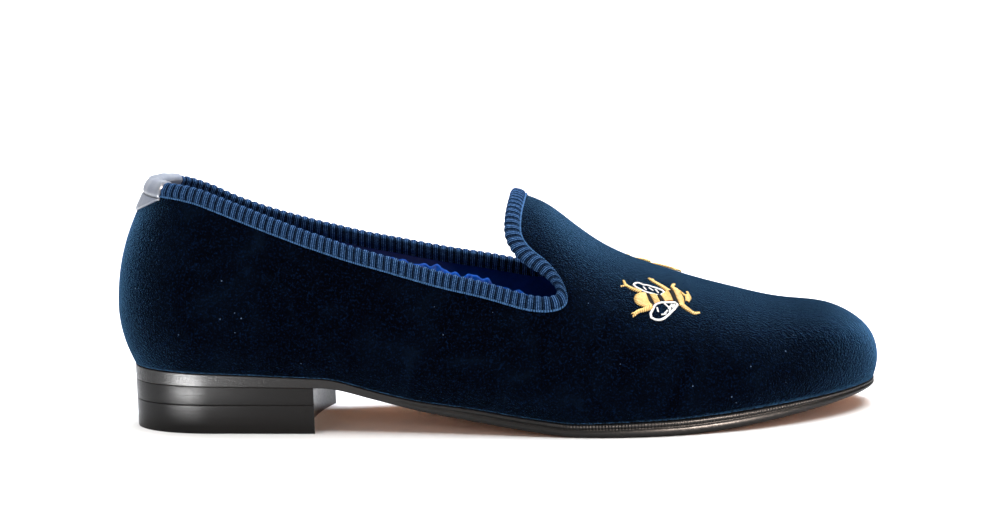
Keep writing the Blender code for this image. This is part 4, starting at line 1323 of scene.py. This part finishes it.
# Rims of the two wings, back to their first point.
UPPER_WING = [(-10.7, 5.5), (-9.6, 7.2), (-8.2, 7.8), (-6.8, 7.1), (-5.0, 7.7), (-3.4, 7.3), (-1.3, 7.1), (1.2, 6.3)]
UPPER_WING += [(1.8, 5.1), (0.2, 2.9), (-1.3, 2.3), (-2.9, 2.7), (-4.4, 2.6), (-6.3, 2.9), (-8.1, 3.7), (-9.9, 4.4)]
UPPER_WING += UPPER_WING[:1]
LOWER_WING = [(-1.5, -3.1), (0.5, -1.6), (3.5, -0.6), (6.9, 0.4), (6.9, -1.1), (5.4, -4.3), (3.7, -7.4), (2.0, -9.8)]
LOWER_WING += [(0.5, -11.0), (-1.5, -11.3), (-3.1, -10.6), (-3.5, -8.8), (-2.7, -6.2), (-2.2, -4.4)]
LOWER_WING += LOWER_WING[:1]
# Paths with a width at both ends, as (thread, widths, path), in mm.
BEE_PATHS = (
    (GOLD, (0.7, 0.9), [(8.8, 8.9), (10.2, 6.6)]),
    (GOLD, (0.7, 0.9), [(11.2, 10.6), (11.9, 7.1)]),
    (GOLD, (0.8, 1.9), [(6.9, 14.7), (5.7, 13.6), (5.2, 11.0), (6.6, 9.6), (8.4, 8.2)]),
    (GOLD, (0.6, 2.6), [(-4.4, 13.5), (-2.6, 11.5), (-1.1, 10.8), (1.0, 9.4), (3.6, 7.2)]),
    (GOLD, (0.6, 0.7), [(-2.4, 14.0), (-2.6, 11.6)]),
    (GOLD, (0.6, 1.9), [(-14.8, 6.5), (-14.0, 3.9), (-12.4, 2.9), (-10.2, 2.3), (-7.5, 2.0)]),
    (GOLD, (0.6, 0.7), [(-16.0, 2.1), (-14.0, 3.5)]),
    (GOLD, (0.7, 2.7), [(-11.0, -10.1), (-9.4, -10.3), (-8.3, -8.8), (-6.0, -7.5), (-3.2, -5.0)]),
    (GOLD, (0.6, 0.8), [(-10.4, -11.7), (-9.1, -10.4)]),
    (GOLD, (2.5, 0.8), [(8.0, 0.6), (9.9, -1.5), (12.0, -3.2), (13.5, -4.2), (15.7, -3.1)]),
    (WHITE, (0.5, 0.4), [(-6.8, 5.9), (-5.6, 4.2)]),
    (WHITE, (0.5, 0.4), [(-4.6, 6.2), (-2.8, 4.8)]),
    (WHITE, (0.5, 0.4), [(-1.9, 6.2), (-0.7, 4.1)]),
    (WHITE, (0.6, 0.4), [(1.6, -1.8), (3.6, -3.7)]),
    (WHITE, (0.6, 0.4), [(4.9, -1.2), (3.4, -4.4)]),
    (WHITE, (0.6, 0.4), [(3.2, -5.3), (1.9, -7.4)]),
    (WHITE, (0.6, 0.4), [(0.5, -8.3), (2.6, -7.5)]),
    (WHITE, (0.5, 0.4), [(-0.6, -7.3), (-1.1, -5.0)]),
    (WHITE, (0.6, 0.4), [(5.9, -0.9), (4.9, -3.3)]),
    (WHITE, (0.6, 0.4), [(4.3, -3.6), (3.7, -5.9)]),
    (WHITE, (0.62, 0.62), UPPER_WING),
    (WHITE, (0.72, 0.72), LOWER_WING),
)

print(len(BEE_FORMS), "forms and", len(BEE_PATHS), "paths")

# %% [markdown]
# ## Stitches
# Satin stitch reads both edges of a form at the same shares of their lengths and lays a thread between them.


# %% Stitches
def satin_stitch(one_edge, other_edge, slant=0.0):
    """Ends of the threads of a form: both edges read at the same shares of their lengths, one of them slanted."""
    count = max(2, int(max(along(one_edge)[-1], along(other_edge)[-1]) / THREAD_PITCH))
    shares = (np.arange(count) + 0.5) / count
    return np.stack([read_chain(one_edge, shares), read_chain(other_edge, np.clip(shares + slant, 0, 1))], axis=1)


def path_stitch(path, widths):
    """Threads across a path: its points -+ normal * width / 2, with the normal its run turned by a right angle."""
    fine = read_chain(np.array(path), np.linspace(0, 1, PATH_POINTS))
    run = np.gradient(fine, axis=0)
    normal = unit(np.stack([-run[:, 1], run[:, 0]], axis=1))
    half = np.linspace(*widths, PATH_POINTS)[:, None] / 2
    slant = PATH_SLANT * max(widths) / along(fine)[-1]
    return satin_stitch(fine - normal * half, fine + normal * half, slant)

first_leg = BEE_PATHS[2]
print("threads in one leg:", len(path_stitch(first_leg[2], first_leg[1])))

# %% [markdown]
# ## From flat cloth to the vamp
# The flat pattern is laid on the plane that touches the skin at the middle of the bee. From there each point steps
# along the plane's normal until the formula of the skin is met.


# %% Carrying a pattern onto the skin
def level(x, y, z):
    """Height above the skin: z - feather(x) - skin(x, y)."""
    return z - feather_height(x) - skin_height(x, y)


def skin_normal(x, y):
    """Unit normal of the skin from its two slopes: (-dz/dx, -dz/dy, 1)."""
    slope_x = (level(x - SKIN_PROBE, y, 0) - level(x + SKIN_PROBE, y, 0)) / (2 * SKIN_PROBE)
    slope_y = (level(x, y - SKIN_PROBE, 0) - level(x, y + SKIN_PROBE, 0)) / (2 * SKIN_PROBE)
    return unit(np.stack([-slope_x, -slope_y, np.ones_like(slope_x)], axis=-1))


def carry(pattern, middle, heading):
    """Pattern points on the skin: middle + u * ahead + v * side, then steps of -out * level * out_z down to it."""
    x, y = np.array([middle[0]]), np.array([middle[1]])
    base = np.array([x[0], y[0], (feather_height(x) + skin_height(x, y))[0]])
    out = skin_normal(x, y)[0]
    ahead = np.array([np.cos(heading), np.sin(heading), 0.0])
    ahead = unit(ahead - out * (out @ ahead))
    side = np.cross(out, ahead)
    points = base + pattern[..., :1] * ahead + pattern[..., 1:] * side
    for _ in range(SKIN_STEPS):
        points = points - out * level(*np.moveaxis(points, -1, 0))[..., None] * out[2]
    return points, skin_normal(points[..., 0], points[..., 1])

# Middle of each bee in plan, way it heads and scale.
OUTER_BEE = ((0.2146, -0.0251), 0.0, 1.0)
INNER_BEE = ((0.2125, 0.0330), np.pi + 0.35, 1.35)
print("vamp's normal at the outer bee", skin_normal(*np.array(OUTER_BEE[0])[:, None])[0].round(2))

# %% [markdown]
# ## Threads as tubes
# Each thread is a tube of five sides that rises from one edge, arches over and sinks at the other. Every second thread
# of the gold forms is thinner and darker, which stands for the shade between two threads.


# %% Bees
def add_bee(name, middle, heading, scale):
    """All threads of a bee as tubes: centre + radius * (cos(a) * side + sin(a) * top), closed at both ends."""
    stitched = [satin_stitch(np.array(one), np.array(other)) for _, one, other in BEE_FORMS]
    stitched += [path_stitch(path, widths) for _, widths, path in BEE_PATHS]
    kinds = [entry[0] for entry in BEE_FORMS + BEE_PATHS]
    kind = np.repeat(kinds, [len(each) for each in stitched])
    order = np.concatenate([np.arange(len(each)) for each in stitched])
    kind = np.where((kind == GOLD) & (order % 2 == 1), GOLD_PAINTED_SHADE, kind)
    ends = np.concatenate(stitched) * scale * MM
    share = np.linspace(0, 1, THREAD_SEGMENTS + 1)[None, :, None]
    line, out = carry(ends[:, :1] * (1 - share) + ends[:, 1:] * share, middle, heading)
    length = np.linalg.norm(ends[:, 1] - ends[:, 0], axis=1)[:, None, None]
    rise = np.minimum(THREAD_BULGE * length, THREAD_RISE * scale)
    arch = np.sqrt(np.clip(1 - (2 * share - 1) ** 2, 0, 1)) * rise
    line = line + out * (arch + THREAD_LIFT)
    run = np.gradient(line, axis=1)
    side = unit(np.cross(out, run))
    top = unit(np.cross(run, side))
    angle = 2 * np.pi * np.arange(THREAD_SIDES) / THREAD_SIDES
    thickness = np.where(kind == GOLD_PAINTED_SHADE, DEEP_STRAND, 1.0)[:, None, None, None]
    radius = thickness * 0.5 * THREAD_PITCH * scale * MM
    tube = side[:, :, None] * np.cos(angle)[:, None] + top[:, :, None] * np.sin(angle)[:, None]
    points = line[:, :, None] + radius * tube
    count, rings, sides = points.shape[:3]
    i, j, k = np.meshgrid(np.arange(count), np.arange(rings - 1), np.arange(sides), indexing="ij")
    at = (i * rings + j) * sides
    quads = np.stack([at + k, at + (k + 1) % sides, at + sides + (k + 1) % sides, at + sides + k], axis=3)
    first = np.arange(count)[:, None] * rings * sides
    starts = first + np.arange(sides)[None, ::-1]
    finishes = first + (rings - 1) * sides + np.arange(sides)[None, :]
    faces = [tuple(face) for face in quads.reshape(-1, 4).tolist() + starts.tolist() + finishes.tolist()]
    index = np.concatenate([np.repeat(kind, (rings - 1) * sides), kind, kind])
    bee = piece(name, points, faces, THREADS, material_index=index)


add_bee("outer_bee", *OUTER_BEE)
add_bee("inner_bee", *INNER_BEE)
